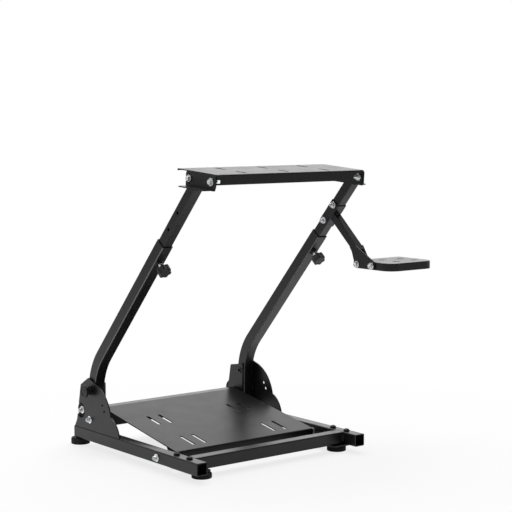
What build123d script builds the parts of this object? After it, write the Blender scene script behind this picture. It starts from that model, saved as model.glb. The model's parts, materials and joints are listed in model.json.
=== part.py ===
"""Folding stand for a racing wheel, pedals and a gear lever, in millimetres.

Working frame: X to the user's right, Y away from the user, Z up, the floor at Z = 0,
X = 0 in the middle of the base and Y = 0 at the front ends of the rails.
Every piece is moved at the end so that the origin is the middle of the footprint.
"""
import os
from math import atan2, cos, degrees, radians, sin, tan

from build123d import *

# Base frame
BASE_WIDTH = 514.0
RAIL_LENGTH = 530.0
RAIL_SIDE = 30.0
RAIL_WALL = 2.0
TUBE_CORNER = 3.0
FOOT_DIAMETER = 48.0
FOOT_HEIGHT = 14.5
FOOT_CROWN = 2.5
CORNER_PLATE_THICKNESS = 3.5
CORNER_PLATE_INSET = 67.0
CORNER_PLATE_EDGE = 9.0
CORNER_PLATE_LENGTH = 88.0
CORNER_PLATE_FRONT = 34.0
CORNER_BOLT_SETBACK = 49.0
CORNER_BOLT_PITCH = 51.0
BUTTON_HEAD_RADIUS = 7.0
BUTTON_HEAD_HEIGHT = 3.6
FRONT_TUBE_SIDE = 30.0
FRONT_TUBE_SETBACK = 46.0
LEFT_FRONT_FOOT = (48.0, 47.0)
RIGHT_FRONT_FOOT = (37.0, 62.0)
REAR_FOOT_SETBACK = 2.0
FOOT_STEM_RADIUS = 11.5
FOOT_STEM_HEIGHT = 2.0
CAP_DOME = 9.0
CAP_PLUG_LENGTH = 12.0
CAP_RECESS = 25.0
CAP_EDGE = 1.0
CAP_CLEARANCE = 0.15

# Fold pivot at the rear of each rail
PLATE_THICKNESS = 3.5
PLATE_EDGE_RADIUS = 5.0
PIVOT_Y = 457.5
PIVOT_HEIGHT = 74.0
PIVOT_BOLT_RADIUS = 5.0
PIVOT_CLEARANCE = 0.1
PIVOT_BOSS_RADIUS = 11.0
PIVOT_GAP = 1.3
BOSS_GAP = 0.3
SECTOR_RADIUS = 98.0
LOCK_RADIUS = 74.0
LOCK_ANGLES = (0.0, 53.0, 65.8)
LOCK_PIN_RADIUS = 4.0
LOCK_KNOB_RADIUS = 15.5
LOCK_KNOB_LENGTH = 18.0
LOCK_BUSH_RADIUS = 6.0
STOP_BACK = 43.0
STOP_RISE = 18.0
STOP_ROLLER_RADIUS = 17.0
ROLLER_EDGE = 1.5
STOP_NOTCH_RADIUS = 19.5
PLATE_FRONT_REACH = 134.0
PLATE_REAR_REACH = 65.0
PLATE_REAR_LEAN = 10.5
PLATE_TAIL_REACH = 71.0
PLATE_TAIL_RISE = 18.0
SHOULDER_DROP = 20.0
INNER_REAR_REACH = 60.0
INNER_FRONT_REACH = 13.0

# Uprights
TUBE_SIDE = 30.0
TUBE_WALL = 2.0
LEAN_ANGLE = 42.0
BEND_RADIUS = 150.0
BEND_CORNER_RISE = 123.3
LOWER_TUBE_LENGTH = 461.0
TUBE_BELOW_PIVOT = 11.0
INNER_TUBE_SIDE = 25.0
INNER_TUBE_WALL = 1.5
TUBE_INSERTION = 230.0
MAST_REACH = 176.3
HEAD_SETBACK = 58.86
SIDE_HOLE_FROM_TOP = 75.6
SIDE_HOLE_PITCH = 54.0
SIDE_HOLE_RADIUS = 4.2

# Star knobs that clamp the height
KNOB_BELOW_TOP = 52.0
KNOB_RADIUS = 16.5
KNOB_LOBES = 6
KNOB_LOBE_RADIUS = 4.6
KNOB_THICKNESS = 18.0
KNOB_STANDOFF = 16.0
STUD_RADIUS = 5.0
STUD_CLEARANCE = 0.1
STUD_GRIP = 12.0
FERRULE_RADIUS = 6.5
FERRULE_LENGTH = 8.0
WELD_NUT_FLATS = 17.0
WELD_NUT_HEIGHT = 5.0

# Wheel plate and the brackets under it
HEAD_TILT = 4.0
SHEET = 2.5
SHEET_BEND = 2.0
BRACKET_SHEET = 2.5
WHEEL_PLATE_DEPTH = 151.0
WHEEL_PLATE_GAP = 0.5
WASHER_GAP = 0.3
EDGE_FLANGE = 24.0
FLANGE_RELIEF = 31.0
SIDE_FLANGE = 33.0
BRACKET_LENGTH = 112.0
BRACKET_DROP = 38.0
BRACKET_FOOT_SETBACK = 15.0
BRACKET_FOOT_WIDTH = 25.0
BRACKET_TOP_GAP = 2.0
TILT_BOLT_SETBACK = 15.5
TILT_BOLT_DROP = 18.0
TILT_BOLT_SPACING = 83.0
TILT_BOLT_END = 12.0
TILT_UP = 5.0
TILT_DOWN = 6.0
WHEEL_SLOT_PITCH_X = 250.0
WHEEL_SLOT_PITCH_Y = 80.0
WHEEL_SLOT_LENGTH = 40.0

# Pedal tray
TRAY_FRONT = 143.0
TRAY_FRONT_DROP = 5.0
TRAY_SIDE_GAP = 15.0
TRAY_FRONT_FLANGE = 16.0
TRAY_EAR_LENGTH = 42.0
TRAY_EAR_MARGIN = 10.0
TRAY_BOLT_BACK = 18.0
TRAY_BOLT_DROP = 11.0
TRAY_SLOT_X = (108.0, 143.0)
TRAY_SLOT_ROWS = (53.0, 200.0)
TRAY_SLOT_LENGTH = 60.0
REAR_BEAM_DEPTH = 25.0
REAR_BEAM_HEIGHT = 50.0
REAR_BEAM_WALL = 2.0
REAR_BEAM_BACK = 13.0
REAR_BEAM_DROP = 2.0

# Gear lever mount on the right upright
ARM_SIDE = 20.0
ARM_WALL = 2.0
ARM_LENGTH = 123.0
CLAMP_SHEET = 2.0
CLAMP_MARGIN = 9.0
LEVER_PLATE_WIDTH = 150.0
LEVER_PLATE_DEPTH = 127.0
LEVER_PLATE_FLANGE = 19.0
LEVER_BOLT_DROP = 29.0
LEVER_BOLT_SPACING = 52.0
LEVER_PLATE_FRONT = 64.0
LEVER_CORNER_RADIUS = 30.0
CHEEK_SHEET = 3.0
CHEEK_MARGIN = 11.0
CHEEK_DROP = 7.0
RIGHT_CHEEK_FOOT = 29.0
LEVER_SLOT_PITCH_X = 60.0
LEVER_SLOT_PITCH_Y = 50.0
LEVER_SLOT_LENGTH = 24.0

# M8 fasteners
BOLT_RADIUS = 4.0
BOLT_HOLE_RADIUS = 4.2
BOLT_HEAD_FLATS = 13.0
BOLT_HEAD_HEIGHT = 5.5
WASHER_RADIUS = 8.4
WASHER_THICKNESS = 1.6
BOLT_END = 3.0

# Levels and places worked out from the values above
RAIL_BOTTOM = FOOT_HEIGHT + CORNER_PLATE_THICKNESS
RAIL_TOP = RAIL_BOTTOM + RAIL_SIDE
RAIL_X = BASE_WIDTH / 2 - RAIL_SIDE / 2
RAIL_INNER_X = BASE_WIDTH / 2 - RAIL_SIDE
UPRIGHT_X = BASE_WIDTH / 2 - PLATE_THICKNESS - PIVOT_GAP - TUBE_SIDE / 2
CHEEK_X = UPRIGHT_X - TUBE_SIDE / 2 - PIVOT_GAP
PIVOT = (PIVOT_Y, PIVOT_HEIGHT)
LEAN = radians(LEAN_ANGLE)
ALONG = (-sin(LEAN), cos(LEAN))
FORWARD = (-cos(LEAN), -sin(LEAN))
BEND_CORNER = (PIVOT_Y, PIVOT_HEIGHT + BEND_CORNER_RISE)


def on_axis(distance, forward=0.0):
    """Point in YZ on the leaning axis, measured from the bend corner, offset to its front."""
    return (
        BEND_CORNER[0] + distance * ALONG[0] + forward * FORWARD[0],
        BEND_CORNER[1] + distance * ALONG[1] + forward * FORWARD[1],
    )


def outline(*pieces):
    """Sketch face from lines and arcs given in order."""
    return make_face(Curve() + list(pieces))


def bent_sheet(width, *points):
    """Sheet of one thickness bent along the middle line through YZ points, width wide about X = 0."""
    section = trace(FilletPolyline(*points, radius=SHEET_BEND), line_width=SHEET)
    return extrude(Plane.YZ * section, amount=width / 2, both=True)


def plate_at(face, x_inner, thickness, side):
    """Extrude a YZ face into a plate from |X| = x_inner outward, on side -1 or +1."""
    solid = extrude(face, amount=thickness, dir=(1, 0, 0))
    solid = Pos(x_inner, 0, 0) * solid
    return solid if side > 0 else mirror(solid, about=Plane.YZ)


def x_cylinder(radius, x_from, x_to, y, z):
    """Cylinder along X between two X positions."""
    length = x_to - x_from
    return Pos(x_from, y, z) * Rot(0, 90, 0) * Cylinder(
        radius, length, align=(Align.CENTER, Align.CENTER, Align.MIN)
    )


def tube_section(side, wall, corner, depth=None):
    """Hollow section with rounded corners, side wide and depth high, centred."""
    depth = side if depth is None else depth
    outer = RectangleRounded(side, depth, corner)
    inner = RectangleRounded(side - 2 * wall, depth - 2 * wall, max(corner - wall, 0.5))
    return outer - inner


def through_bolt(grip, head=True, nut=True, end=BOLT_END):
    """Hex bolt along +Z: washer and head below Z = 0, shank up through the grip, then the nut."""
    low = (Align.CENTER, Align.CENTER, Align.MIN)
    hexagon = RegularPolygon(BOLT_HEAD_FLATS / 2, 6, major_radius=False)
    washer = Cylinder(WASHER_RADIUS, WASHER_THICKNESS, align=low)
    length = grip + WASHER_THICKNESS + BOLT_HEAD_HEIGHT + end if nut else grip
    bolt = Cylinder(BOLT_RADIUS, length, align=low)
    if head:
        bolt += Pos(0, 0, -WASHER_THICKNESS) * washer
        bolt += Pos(0, 0, -WASHER_THICKNESS - BOLT_HEAD_HEIGHT) * extrude(hexagon, amount=BOLT_HEAD_HEIGHT)
    if nut:
        bolt += Pos(0, 0, grip) * washer
        bolt += Pos(0, 0, grip + WASHER_THICKNESS) * extrude(hexagon, amount=BOLT_HEAD_HEIGHT)
    return bolt


def x_bolt(x_head, y, z, direction, grip, head=True, nut=True):
    """Through bolt with its head at x_head and its shank along +X or -X."""
    plane = Plane(origin=(x_head, y, z), x_dir=(0, 1, 0), z_dir=(direction, 0, 0))
    return plane * through_bolt(grip, head, nut)


# Rails, cross tube and corner plates
def rail(side):
    """Square tube along Y with holes for the two front bolts and the tray bolt."""
    middle = RAIL_BOTTOM + RAIL_SIDE / 2
    plane = Plane(origin=(side * RAIL_X, 0, middle), x_dir=(1, 0, 0), z_dir=(0, 1, 0))
    tube = extrude(plane * tube_section(RAIL_SIDE, RAIL_WALL, TUBE_CORNER), amount=RAIL_LENGTH)
    for y in corner_bolt_places():
        tube -= Pos(side * RAIL_X, y, middle) * Cylinder(BOLT_HOLE_RADIUS, 2 * RAIL_SIDE)
    y, z = tray_bolt_place()
    x_from, x_to = side * RAIL_X - RAIL_SIDE, side * RAIL_X + RAIL_SIDE
    return tube - x_cylinder(BOLT_HOLE_RADIUS, x_from, x_to, y, z)


def corner_bolt_places():
    """Y of the two bolts that hold each corner plate to its rail."""
    return (CORNER_BOLT_SETBACK, CORNER_BOLT_SETBACK + CORNER_BOLT_PITCH)


def front_cross_tube():
    """Square tube between the rails, standing on the two corner plates."""
    half = FRONT_TUBE_SIDE / 2
    start = (-RAIL_INNER_X, FRONT_TUBE_SETBACK + half, RAIL_BOTTOM + half)
    plane = Plane(origin=start, x_dir=(0, 1, 0), z_dir=(1, 0, 0))
    return extrude(plane * tube_section(FRONT_TUBE_SIDE, RAIL_WALL, TUBE_CORNER), amount=2 * RAIL_INNER_X)


def corner_plate(side):
    """Flat plate under rail and cross tube that ties them and carries the front foot."""
    width = CORNER_PLATE_INSET - CORNER_PLATE_EDGE
    centre_x = side * (BASE_WIDTH / 2 - CORNER_PLATE_EDGE - width / 2)
    centre_y = CORNER_PLATE_FRONT + CORNER_PLATE_LENGTH / 2
    sketch = RectangleRounded(width, CORNER_PLATE_LENGTH, PLATE_EDGE_RADIUS)
    plate = Pos(centre_x, centre_y, FOOT_HEIGHT) * extrude(sketch, amount=CORNER_PLATE_THICKNESS)
    for y in corner_bolt_places():
        plate -= Pos(side * RAIL_X, y, RAIL_BOTTOM) * Cylinder(BOLT_HOLE_RADIUS, 2 * RAIL_SIDE)
    return plate


def corner_bolts():
    """Button-headed bolts down through both rails and their corner plates."""
    grip = RAIL_SIDE + CORNER_PLATE_THICKNESS
    flat = BUTTON_HEAD_RADIUS / 2
    profile = outline(
        Polyline((0, -grip), (BOLT_RADIUS, -grip), (BOLT_RADIUS, 0), (BUTTON_HEAD_RADIUS, 0)),
        ThreePointArc(
            (BUTTON_HEAD_RADIUS, 0),
            (BUTTON_HEAD_RADIUS - 0.2 * flat, 0.65 * BUTTON_HEAD_HEIGHT),
            (flat, BUTTON_HEAD_HEIGHT),
        ),
        Polyline((flat, BUTTON_HEAD_HEIGHT), (0, BUTTON_HEAD_HEIGHT), (0, -grip)),
    )
    bolt = revolve(Plane.XZ * profile, axis=Axis.Z)
    return [Pos(side * RAIL_X, y, RAIL_TOP) * bolt for side in (-1, 1) for y in corner_bolt_places()]


def foot(x, y, height):
    """Rubber foot: a disc with a crowned upper edge, flat on the floor, and a short stem on top."""
    radius = FOOT_DIAMETER / 2
    crown = height - FOOT_STEM_HEIGHT
    profile = outline(
        Polyline((0, 0), (radius - 1.0, 0), (radius, 1.0), (radius, crown - FOOT_CROWN)),
        ThreePointArc(
            (radius, crown - FOOT_CROWN),
            (radius - 0.29 * FOOT_CROWN, crown - 0.29 * FOOT_CROWN),
            (radius - FOOT_CROWN, crown),
        ),
        Polyline((radius - FOOT_CROWN, crown), (FOOT_STEM_RADIUS, crown), (FOOT_STEM_RADIUS, height)),
        Polyline((FOOT_STEM_RADIUS, height), (0, height), (0, 0)),
    )
    return Pos(x, y, 0) * revolve(Plane.XZ * profile, axis=Axis.Z)


def feet():
    """Two feet under the corner plates and two under the rear ends of the rails."""
    rear_y = RAIL_LENGTH - REAR_FOOT_SETBACK
    placed = []
    for side, (inset, setback) in ((-1, LEFT_FRONT_FOOT), (1, RIGHT_FRONT_FOOT)):
        placed.append(foot(side * (BASE_WIDTH / 2 - inset), setback, FOOT_HEIGHT))
        placed.append(foot(side * RAIL_X, rear_y, RAIL_BOTTOM))
    return placed


def rail_cap(side, rear):
    """Plastic end cap: a pillowed head over the rear end, a plain plug sunk in the front end."""
    bore = RAIL_SIDE - 2 * RAIL_WALL - 2 * CAP_CLEARANCE
    cap = extrude(RectangleRounded(bore, bore, CAP_EDGE), amount=-CAP_PLUG_LENGTH)
    if rear:
        head = extrude(RectangleRounded(RAIL_SIDE, RAIL_SIDE, TUBE_CORNER), amount=CAP_DOME)
        cap += fillet(head.faces().sort_by(Axis.Z)[-1].edges(), 0.8 * CAP_DOME)
    else:
        cap = fillet(cap.faces().sort_by(Axis.Z)[-1].edges(), CAP_EDGE / 2)
    y = RAIL_LENGTH if rear else CAP_RECESS
    z_dir = (0, 1, 0) if rear else (0, -1, 0)
    middle = RAIL_BOTTOM + RAIL_SIDE / 2
    return Plane(origin=(side * RAIL_X, y, middle), x_dir=(1, 0, 0), z_dir=z_dir) * cap


# Fold pivot
def lock_place(angle):
    """Centre in YZ of the lock hole at an angle forward of straight up."""
    turn = radians(angle)
    return (PIVOT_Y - LOCK_RADIUS * sin(turn), PIVOT_HEIGHT + LOCK_RADIUS * cos(turn))


def stop_place():
    """Centre in YZ of the stop bolt behind the pivot."""
    return (PIVOT_Y + STOP_BACK, PIVOT_HEIGHT + STOP_RISE)


def rear_edge(z, reach):
    """Y of a pivot plate's leaning rear edge at a height, from its reach at the rail's top."""
    return PIVOT_Y + reach - (z - RAIL_TOP) * tan(radians(PLATE_REAR_LEAN))


def sector_point(angle):
    """Point on the plates' rim at an angle forward of straight up."""
    turn = radians(angle)
    return (PIVOT_Y - SECTOR_RADIUS * sin(turn), PIVOT_HEIGHT + SECTOR_RADIUS * cos(turn))


def outer_plate_face():
    """Outer cheek: a rim about the pivot, a rounded shoulder to the rail, a back with a flared tail."""
    front_foot = (PIVOT_Y - PLATE_FRONT_REACH, RAIL_TOP)
    shoulder = (PIVOT_Y - SECTOR_RADIUS + 2.0, PIVOT_HEIGHT + SHOULDER_DROP)
    rim_start = sector_point(degrees(atan2(PIVOT_Y - shoulder[0], SHOULDER_DROP)))
    rim_middle = sector_point(45.0)
    rim_end = sector_point(12.0)
    crown = (PIVOT_Y + 6.0, PIVOT_HEIGHT + SECTOR_RADIUS + 8.0)
    back_height = PIVOT_HEIGHT + SECTOR_RADIUS - 14.0
    back = (rear_edge(back_height, PLATE_REAR_REACH - 2.0), back_height)
    tail_top = (rear_edge(RAIL_TOP + PLATE_TAIL_RISE, PLATE_REAR_REACH), RAIL_TOP + PLATE_TAIL_RISE)
    tail = (PIVOT_Y + PLATE_TAIL_REACH, RAIL_TOP + 2.0)
    rear_foot = (PIVOT_Y + PLATE_TAIL_REACH, RAIL_TOP)
    bulge = (front_foot[0] + 14.5, (front_foot[1] + rim_start[1]) / 2 + 6.5)
    face = outline(
        ThreePointArc(front_foot, bulge, rim_start),
        ThreePointArc(rim_start, rim_middle, rim_end),
        Polyline(rim_end, crown, back, tail_top, tail, rear_foot, front_foot),
    )
    top_corners = face.vertices().sort_by(Axis.Y)
    face = fillet([top_corners[-1], top_corners[-3]], PLATE_EDGE_RADIUS)
    return face - Pos(*stop_place()) * Circle(STOP_NOTCH_RADIUS)


def outer_plate(side):
    """Outer cheek plate standing on the rail, with pivot boss and lock holes."""
    face = outer_plate_face() - Pos(*PIVOT) * Circle(PIVOT_BOLT_RADIUS + PIVOT_CLEARANCE)
    for angle in LOCK_ANGLES:
        face -= Pos(*lock_place(angle)) * Circle(LOCK_PIN_RADIUS + 0.2)
    x_inner = BASE_WIDTH / 2 - PLATE_THICKNESS
    plate = plate_at(Plane.YZ * face, x_inner, PLATE_THICKNESS, side)
    boss = Pos(*PIVOT) * (Circle(PIVOT_BOSS_RADIUS) - Circle(PIVOT_BOLT_RADIUS + PIVOT_CLEARANCE))
    height = PIVOT_GAP - BOSS_GAP
    return plate + plate_at(Plane.YZ * boss, x_inner - height, height, side)


def inner_bracket_face():
    """Inner cheek: a leaning rear edge like the outer one's, its front edge beside the upright."""
    top_height = PIVOT_HEIGHT + SECTOR_RADIUS - 13.0
    front = PIVOT_Y - INNER_FRONT_REACH
    return outline(
        Polyline(
            (front, RAIL_TOP),
            (front, top_height + 9.0),
            (rear_edge(top_height, INNER_REAR_REACH), top_height),
            (rear_edge(RAIL_TOP, INNER_REAR_REACH), RAIL_TOP),
            (front, RAIL_TOP),
        )
    )


def inner_bracket(side):
    """Inner cheek with its foot bent outward onto the rail's top."""
    face = inner_bracket_face()
    face = fillet(face.vertices().sort_by(Axis.Y)[-2:], PLATE_EDGE_RADIUS)
    face -= Pos(*PIVOT) * Circle(PIVOT_BOLT_RADIUS + PIVOT_CLEARANCE)
    face -= Pos(*lock_place(0.0)) * Circle(LOCK_BUSH_RADIUS + 0.05)
    face -= Pos(*stop_place()) * Circle(BOLT_HOLE_RADIUS)
    cheek = plate_at(Plane.YZ * face, CHEEK_X - PLATE_THICKNESS, PLATE_THICKNESS, side)
    boss = Pos(*PIVOT) * (Circle(PIVOT_BOSS_RADIUS) - Circle(PIVOT_BOLT_RADIUS + PIVOT_CLEARANCE))
    cheek += plate_at(Plane.YZ * boss, CHEEK_X, PIVOT_GAP - BOSS_GAP, side)
    front = PIVOT_Y - INNER_FRONT_REACH
    width = BASE_WIDTH / 2 - PLATE_THICKNESS - BOSS_GAP - CHEEK_X
    length = rear_edge(RAIL_TOP, INNER_REAR_REACH) - front
    foot_plate = Pos(side * (CHEEK_X + width / 2), front, RAIL_TOP) * Box(
        width, length, PLATE_THICKNESS, align=(Align.CENTER, Align.MIN, Align.MIN)
    )
    bracket = cheek + foot_plate
    low_edges = bracket.edges().filter_by(Axis.Y).group_by(Axis.Z)[0].sort_by(Axis.X)
    return fillet(low_edges[0 if side > 0 else -1], PLATE_THICKNESS)


def pivot_bolt(side):
    """Pivot bolt through both cheeks and the upright's foot, its nut outside."""
    x_head = side * (CHEEK_X - PLATE_THICKNESS)
    x_nut = side * BASE_WIDTH / 2
    shank = x_cylinder(PIVOT_BOLT_RADIUS, *sorted((x_head, x_nut)), *PIVOT)
    return shank + x_bolt(x_head, *PIVOT, side, abs(x_nut - x_head))


STOP_END_X = BASE_WIDTH / 2 - PLATE_THICKNESS - WASHER_THICKNESS


def stop_bolt(side):
    """Stud in the inner cheek that carries the stop roller, with a nut on its outer end."""
    x_cheek = CHEEK_X - PLATE_THICKNESS
    return x_bolt(side * x_cheek, *stop_place(), side, STOP_END_X - x_cheek, head=False)


def stop_rollers():
    """Round buffers on the stop studs, in the outer plates' notches."""
    rollers = []
    for side in (-1, 1):
        reach = sorted((side * CHEEK_X, side * STOP_END_X))
        roller = x_cylinder(STOP_ROLLER_RADIUS, *reach, *stop_place())
        roller = fillet(roller.edges().filter_by(GeomType.CIRCLE), ROLLER_EDGE)
        rollers.append(roller - x_cylinder(BOLT_HOLE_RADIUS, *reach, *stop_place()))
    return rollers


def lock_knob(side):
    """Fold lock: waisted round knob on a collar, its pin through the outer plate."""
    waist = LOCK_KNOB_RADIUS * 0.62
    collar = 3.0
    rim = 3.0
    profile = outline(
        Polyline((0, -PLATE_THICKNESS), (LOCK_PIN_RADIUS, -PLATE_THICKNESS), (LOCK_PIN_RADIUS, 0)),
        Polyline((LOCK_PIN_RADIUS, 0), (waist + 2.0, 0), (waist + 2.0, collar), (waist, collar)),
        ThreePointArc(
            (waist, collar),
            (waist + 1.2, LOCK_KNOB_LENGTH * 0.45),
            (LOCK_KNOB_RADIUS, LOCK_KNOB_LENGTH - 2 * rim),
        ),
        ThreePointArc(
            (LOCK_KNOB_RADIUS, LOCK_KNOB_LENGTH - 2 * rim),
            (LOCK_KNOB_RADIUS - 0.3 * rim, LOCK_KNOB_LENGTH - 0.6 * rim),
            (LOCK_KNOB_RADIUS - rim, LOCK_KNOB_LENGTH),
        ),
        Polyline((LOCK_KNOB_RADIUS - rim, LOCK_KNOB_LENGTH), (0, LOCK_KNOB_LENGTH), (0, -PLATE_THICKNESS)),
    )
    knob = revolve(Plane.XZ * profile, axis=Axis.Z)
    y, z = lock_place(0.0)
    return Plane(origin=(side * BASE_WIDTH / 2, y, z), x_dir=(0, 1, 0), z_dir=(side, 0, 0)) * knob


def lock_bush(side):
    """Bright steel bush in the inner cheek, in line with the lock pin."""
    y, z = lock_place(0.0)
    ring = Pos(y, z) * (Circle(LOCK_BUSH_RADIUS) - Circle(LOCK_PIN_RADIUS + 0.2))
    flange = Pos(y, z) * (Circle(LOCK_BUSH_RADIUS + 2.5) - Circle(LOCK_PIN_RADIUS + 0.2))
    bush = plate_at(Plane.YZ * ring, CHEEK_X - PLATE_THICKNESS, PLATE_THICKNESS, side)
    return bush + plate_at(Plane.YZ * flange, CHEEK_X - PLATE_THICKNESS - 1.5, 1.5, side)


# Uprights
def lower_tube(side):
    """Square tube: upright at the foot, one bend, then straight up the leaning axis."""
    tangent = BEND_RADIUS * tan(LEAN / 2)
    foot_point = (PIVOT_Y, PIVOT_HEIGHT - TUBE_BELOW_PIVOT)
    bend_start = (BEND_CORNER[0], BEND_CORNER[1] - tangent)
    bend_end = on_axis(tangent)
    half = radians(LEAN_ANGLE / 2)
    centre_y = PIVOT_Y - BEND_RADIUS
    bend_middle = (centre_y + BEND_RADIUS * cos(half), bend_start[1] + BEND_RADIUS * sin(half))
    top = on_axis(LOWER_TUBE_LENGTH)
    path = Plane.YZ * Wire(
        [
            Line(foot_point, bend_start),
            ThreePointArc(bend_start, bend_middle, bend_end),
            Line(bend_end, top),
        ]
    )
    section = Plane(origin=(0, *foot_point), x_dir=(1, 0, 0), z_dir=(0, 0, 1)) * tube_section(
        TUBE_SIDE, TUBE_WALL, TUBE_CORNER
    )
    tube = Pos(side * UPRIGHT_X, 0, 0) * sweep(section, path=path)
    reach = TUBE_SIDE
    x_from, x_to = side * UPRIGHT_X - reach, side * UPRIGHT_X + reach
    tube -= x_cylinder(PIVOT_BOLT_RADIUS + PIVOT_CLEARANCE, x_from, x_to, *PIVOT)
    tube -= x_cylinder(LOCK_PIN_RADIUS + 0.2, x_from, x_to, *lock_place(0.0))
    return tube - Pos(side * UPRIGHT_X, 0, 0) * knob_plane() * Cylinder(
        STUD_RADIUS + STUD_CLEARANCE, 2 * TUBE_SIDE / 3, align=(Align.CENTER, Align.CENTER, Align.CENTER)
    )


def knob_plane():
    """Plane on the front face of the lower tube at the star knob, facing forward."""
    y, z = on_axis(LOWER_TUBE_LENGTH - KNOB_BELOW_TOP, TUBE_SIDE / 2)
    return Plane(origin=(0, y, z), x_dir=(1, 0, 0), z_dir=(0, *FORWARD))


def weld_nut(side):
    """Hex nut welded to the front face, threaded for the star knob's stud."""
    nut = extrude(RegularPolygon(WELD_NUT_FLATS / 2, 6, major_radius=False), amount=WELD_NUT_HEIGHT)
    nut -= Cylinder(STUD_RADIUS + STUD_CLEARANCE, 4 * WELD_NUT_HEIGHT)
    return Pos(side * UPRIGHT_X, 0, 0) * knob_plane() * nut


def star_knob(side):
    """Six-lobed grip, bored at the back for its stud."""
    core = KNOB_RADIUS - KNOB_LOBE_RADIUS
    star = Circle(core)
    for place in PolarLocations(core, KNOB_LOBES):
        star += place * Circle(KNOB_LOBE_RADIUS)
    grip = extrude(star, amount=KNOB_THICKNESS)
    grip = chamfer(grip.faces().sort_by(Axis.Z)[-1].edges(), 1.5)
    grip -= Cylinder(
        STUD_RADIUS + STUD_CLEARANCE, STUD_GRIP, align=(Align.CENTER, Align.CENTER, Align.MIN)
    )
    return Pos(side * UPRIGHT_X, 0, 0) * knob_plane() * Pos(0, 0, KNOB_STANDOFF) * grip


def clamp_stud(side):
    """Stud from the star knob's grip through nut and tube wall, with a ferrule at the grip."""
    reach = KNOB_STANDOFF + TUBE_WALL
    stud = Pos(0, 0, -reach) * Cylinder(
        STUD_RADIUS, reach + STUD_GRIP, align=(Align.CENTER, Align.CENTER, Align.MIN)
    )
    stud += Cylinder(FERRULE_RADIUS, FERRULE_LENGTH, align=(Align.CENTER, Align.CENTER, Align.MAX))
    return Pos(side * UPRIGHT_X, 0, 0) * knob_plane() * Pos(0, 0, KNOB_STANDOFF) * stud


def head_plane():
    """Plane of the wheel plate's top: origin at its front edge, x to the right, y to the rear."""
    tilt = radians(HEAD_TILT)
    base = on_axis(LOWER_TUBE_LENGTH + MAST_REACH)
    y = base[0] - HEAD_SETBACK * cos(tilt) - BRACKET_DROP * sin(tilt)
    z = base[1] - HEAD_SETBACK * sin(tilt) + BRACKET_DROP * cos(tilt)
    return Plane(origin=(0, y, z), x_dir=(1, 0, 0), z_dir=(0, -sin(tilt), cos(tilt)))


def side_hole_places():
    """Distances up the axis of the two cross holes in each upper tube."""
    top = LOWER_TUBE_LENGTH + MAST_REACH - SIDE_HOLE_FROM_TOP
    return (top, top - SIDE_HOLE_PITCH)


def upper_tube(side):
    """Inner tube that slides in the lower one, cut off under the head bracket."""
    start = on_axis(LOWER_TUBE_LENGTH - TUBE_INSERTION)
    plane = Plane(origin=(side * UPRIGHT_X, *start), x_dir=(1, 0, 0), z_dir=(0, *ALONG))
    length = TUBE_INSERTION + MAST_REACH + 2 * INNER_TUBE_SIDE
    corner = TUBE_CORNER - 1.0
    tube = extrude(plane * tube_section(INNER_TUBE_SIDE, INNER_TUBE_WALL, corner), amount=length)
    block = 4 * BRACKET_LENGTH
    tube -= head_plane() * Pos(side * UPRIGHT_X, HEAD_SETBACK, -BRACKET_DROP) * Box(
        block, block, block, align=(Align.CENTER, Align.CENTER, Align.MIN)
    )
    for distance in side_hole_places():
        x_from, x_to = side * UPRIGHT_X - INNER_TUBE_SIDE, side * UPRIGHT_X + INNER_TUBE_SIDE
        tube -= x_cylinder(SIDE_HOLE_RADIUS, x_from, x_to, *on_axis(distance))
    return tube


# Wheel plate
BRACKET_INNER_X = UPRIGHT_X - INNER_TUBE_SIDE / 2 - BRACKET_SHEET
PLATE_HALF_WIDTH = BRACKET_INNER_X - WHEEL_PLATE_GAP


def head_bracket(side):
    """Angle bracket: its foot on the upper tube's end, its leg beside the wheel plate's flange."""
    leg_height = BRACKET_DROP - BRACKET_TOP_GAP
    sheet = RectangleRounded(BRACKET_LENGTH, leg_height, PLATE_EDGE_RADIUS)
    swing = CenterArc((0, 0), TILT_BOLT_SPACING, -TILT_DOWN, TILT_DOWN + TILT_UP)
    leg = Pos(BRACKET_LENGTH / 2, -BRACKET_TOP_GAP - leg_height / 2) * sheet
    axis = Pos(TILT_BOLT_SETBACK, -TILT_BOLT_DROP)
    leg -= [axis * Circle(BOLT_HOLE_RADIUS), axis * SlotArc(swing, 2 * BOLT_HOLE_RADIUS)]
    local = Plane(origin=(0, 0, 0), x_dir=(0, 1, 0), z_dir=(1, 0, 0))
    leg_solid = Pos(BRACKET_INNER_X, 0, 0) * extrude(local * leg, amount=BRACKET_SHEET)
    foot_length = BRACKET_LENGTH - BRACKET_FOOT_SETBACK
    foot_solid = Pos(BRACKET_INNER_X, BRACKET_FOOT_SETBACK, -BRACKET_DROP) * Box(
        BRACKET_FOOT_WIDTH, foot_length, BRACKET_SHEET, align=(Align.MIN, Align.MIN, Align.MIN)
    )
    outer = foot_solid.edges().filter_by(Axis.Z).group_by(Axis.X)[-1]
    bracket = leg_solid + fillet(outer, PLATE_EDGE_RADIUS)
    if side < 0:
        bracket = mirror(bracket, about=Plane.YZ)
    return head_plane() * bracket


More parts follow.
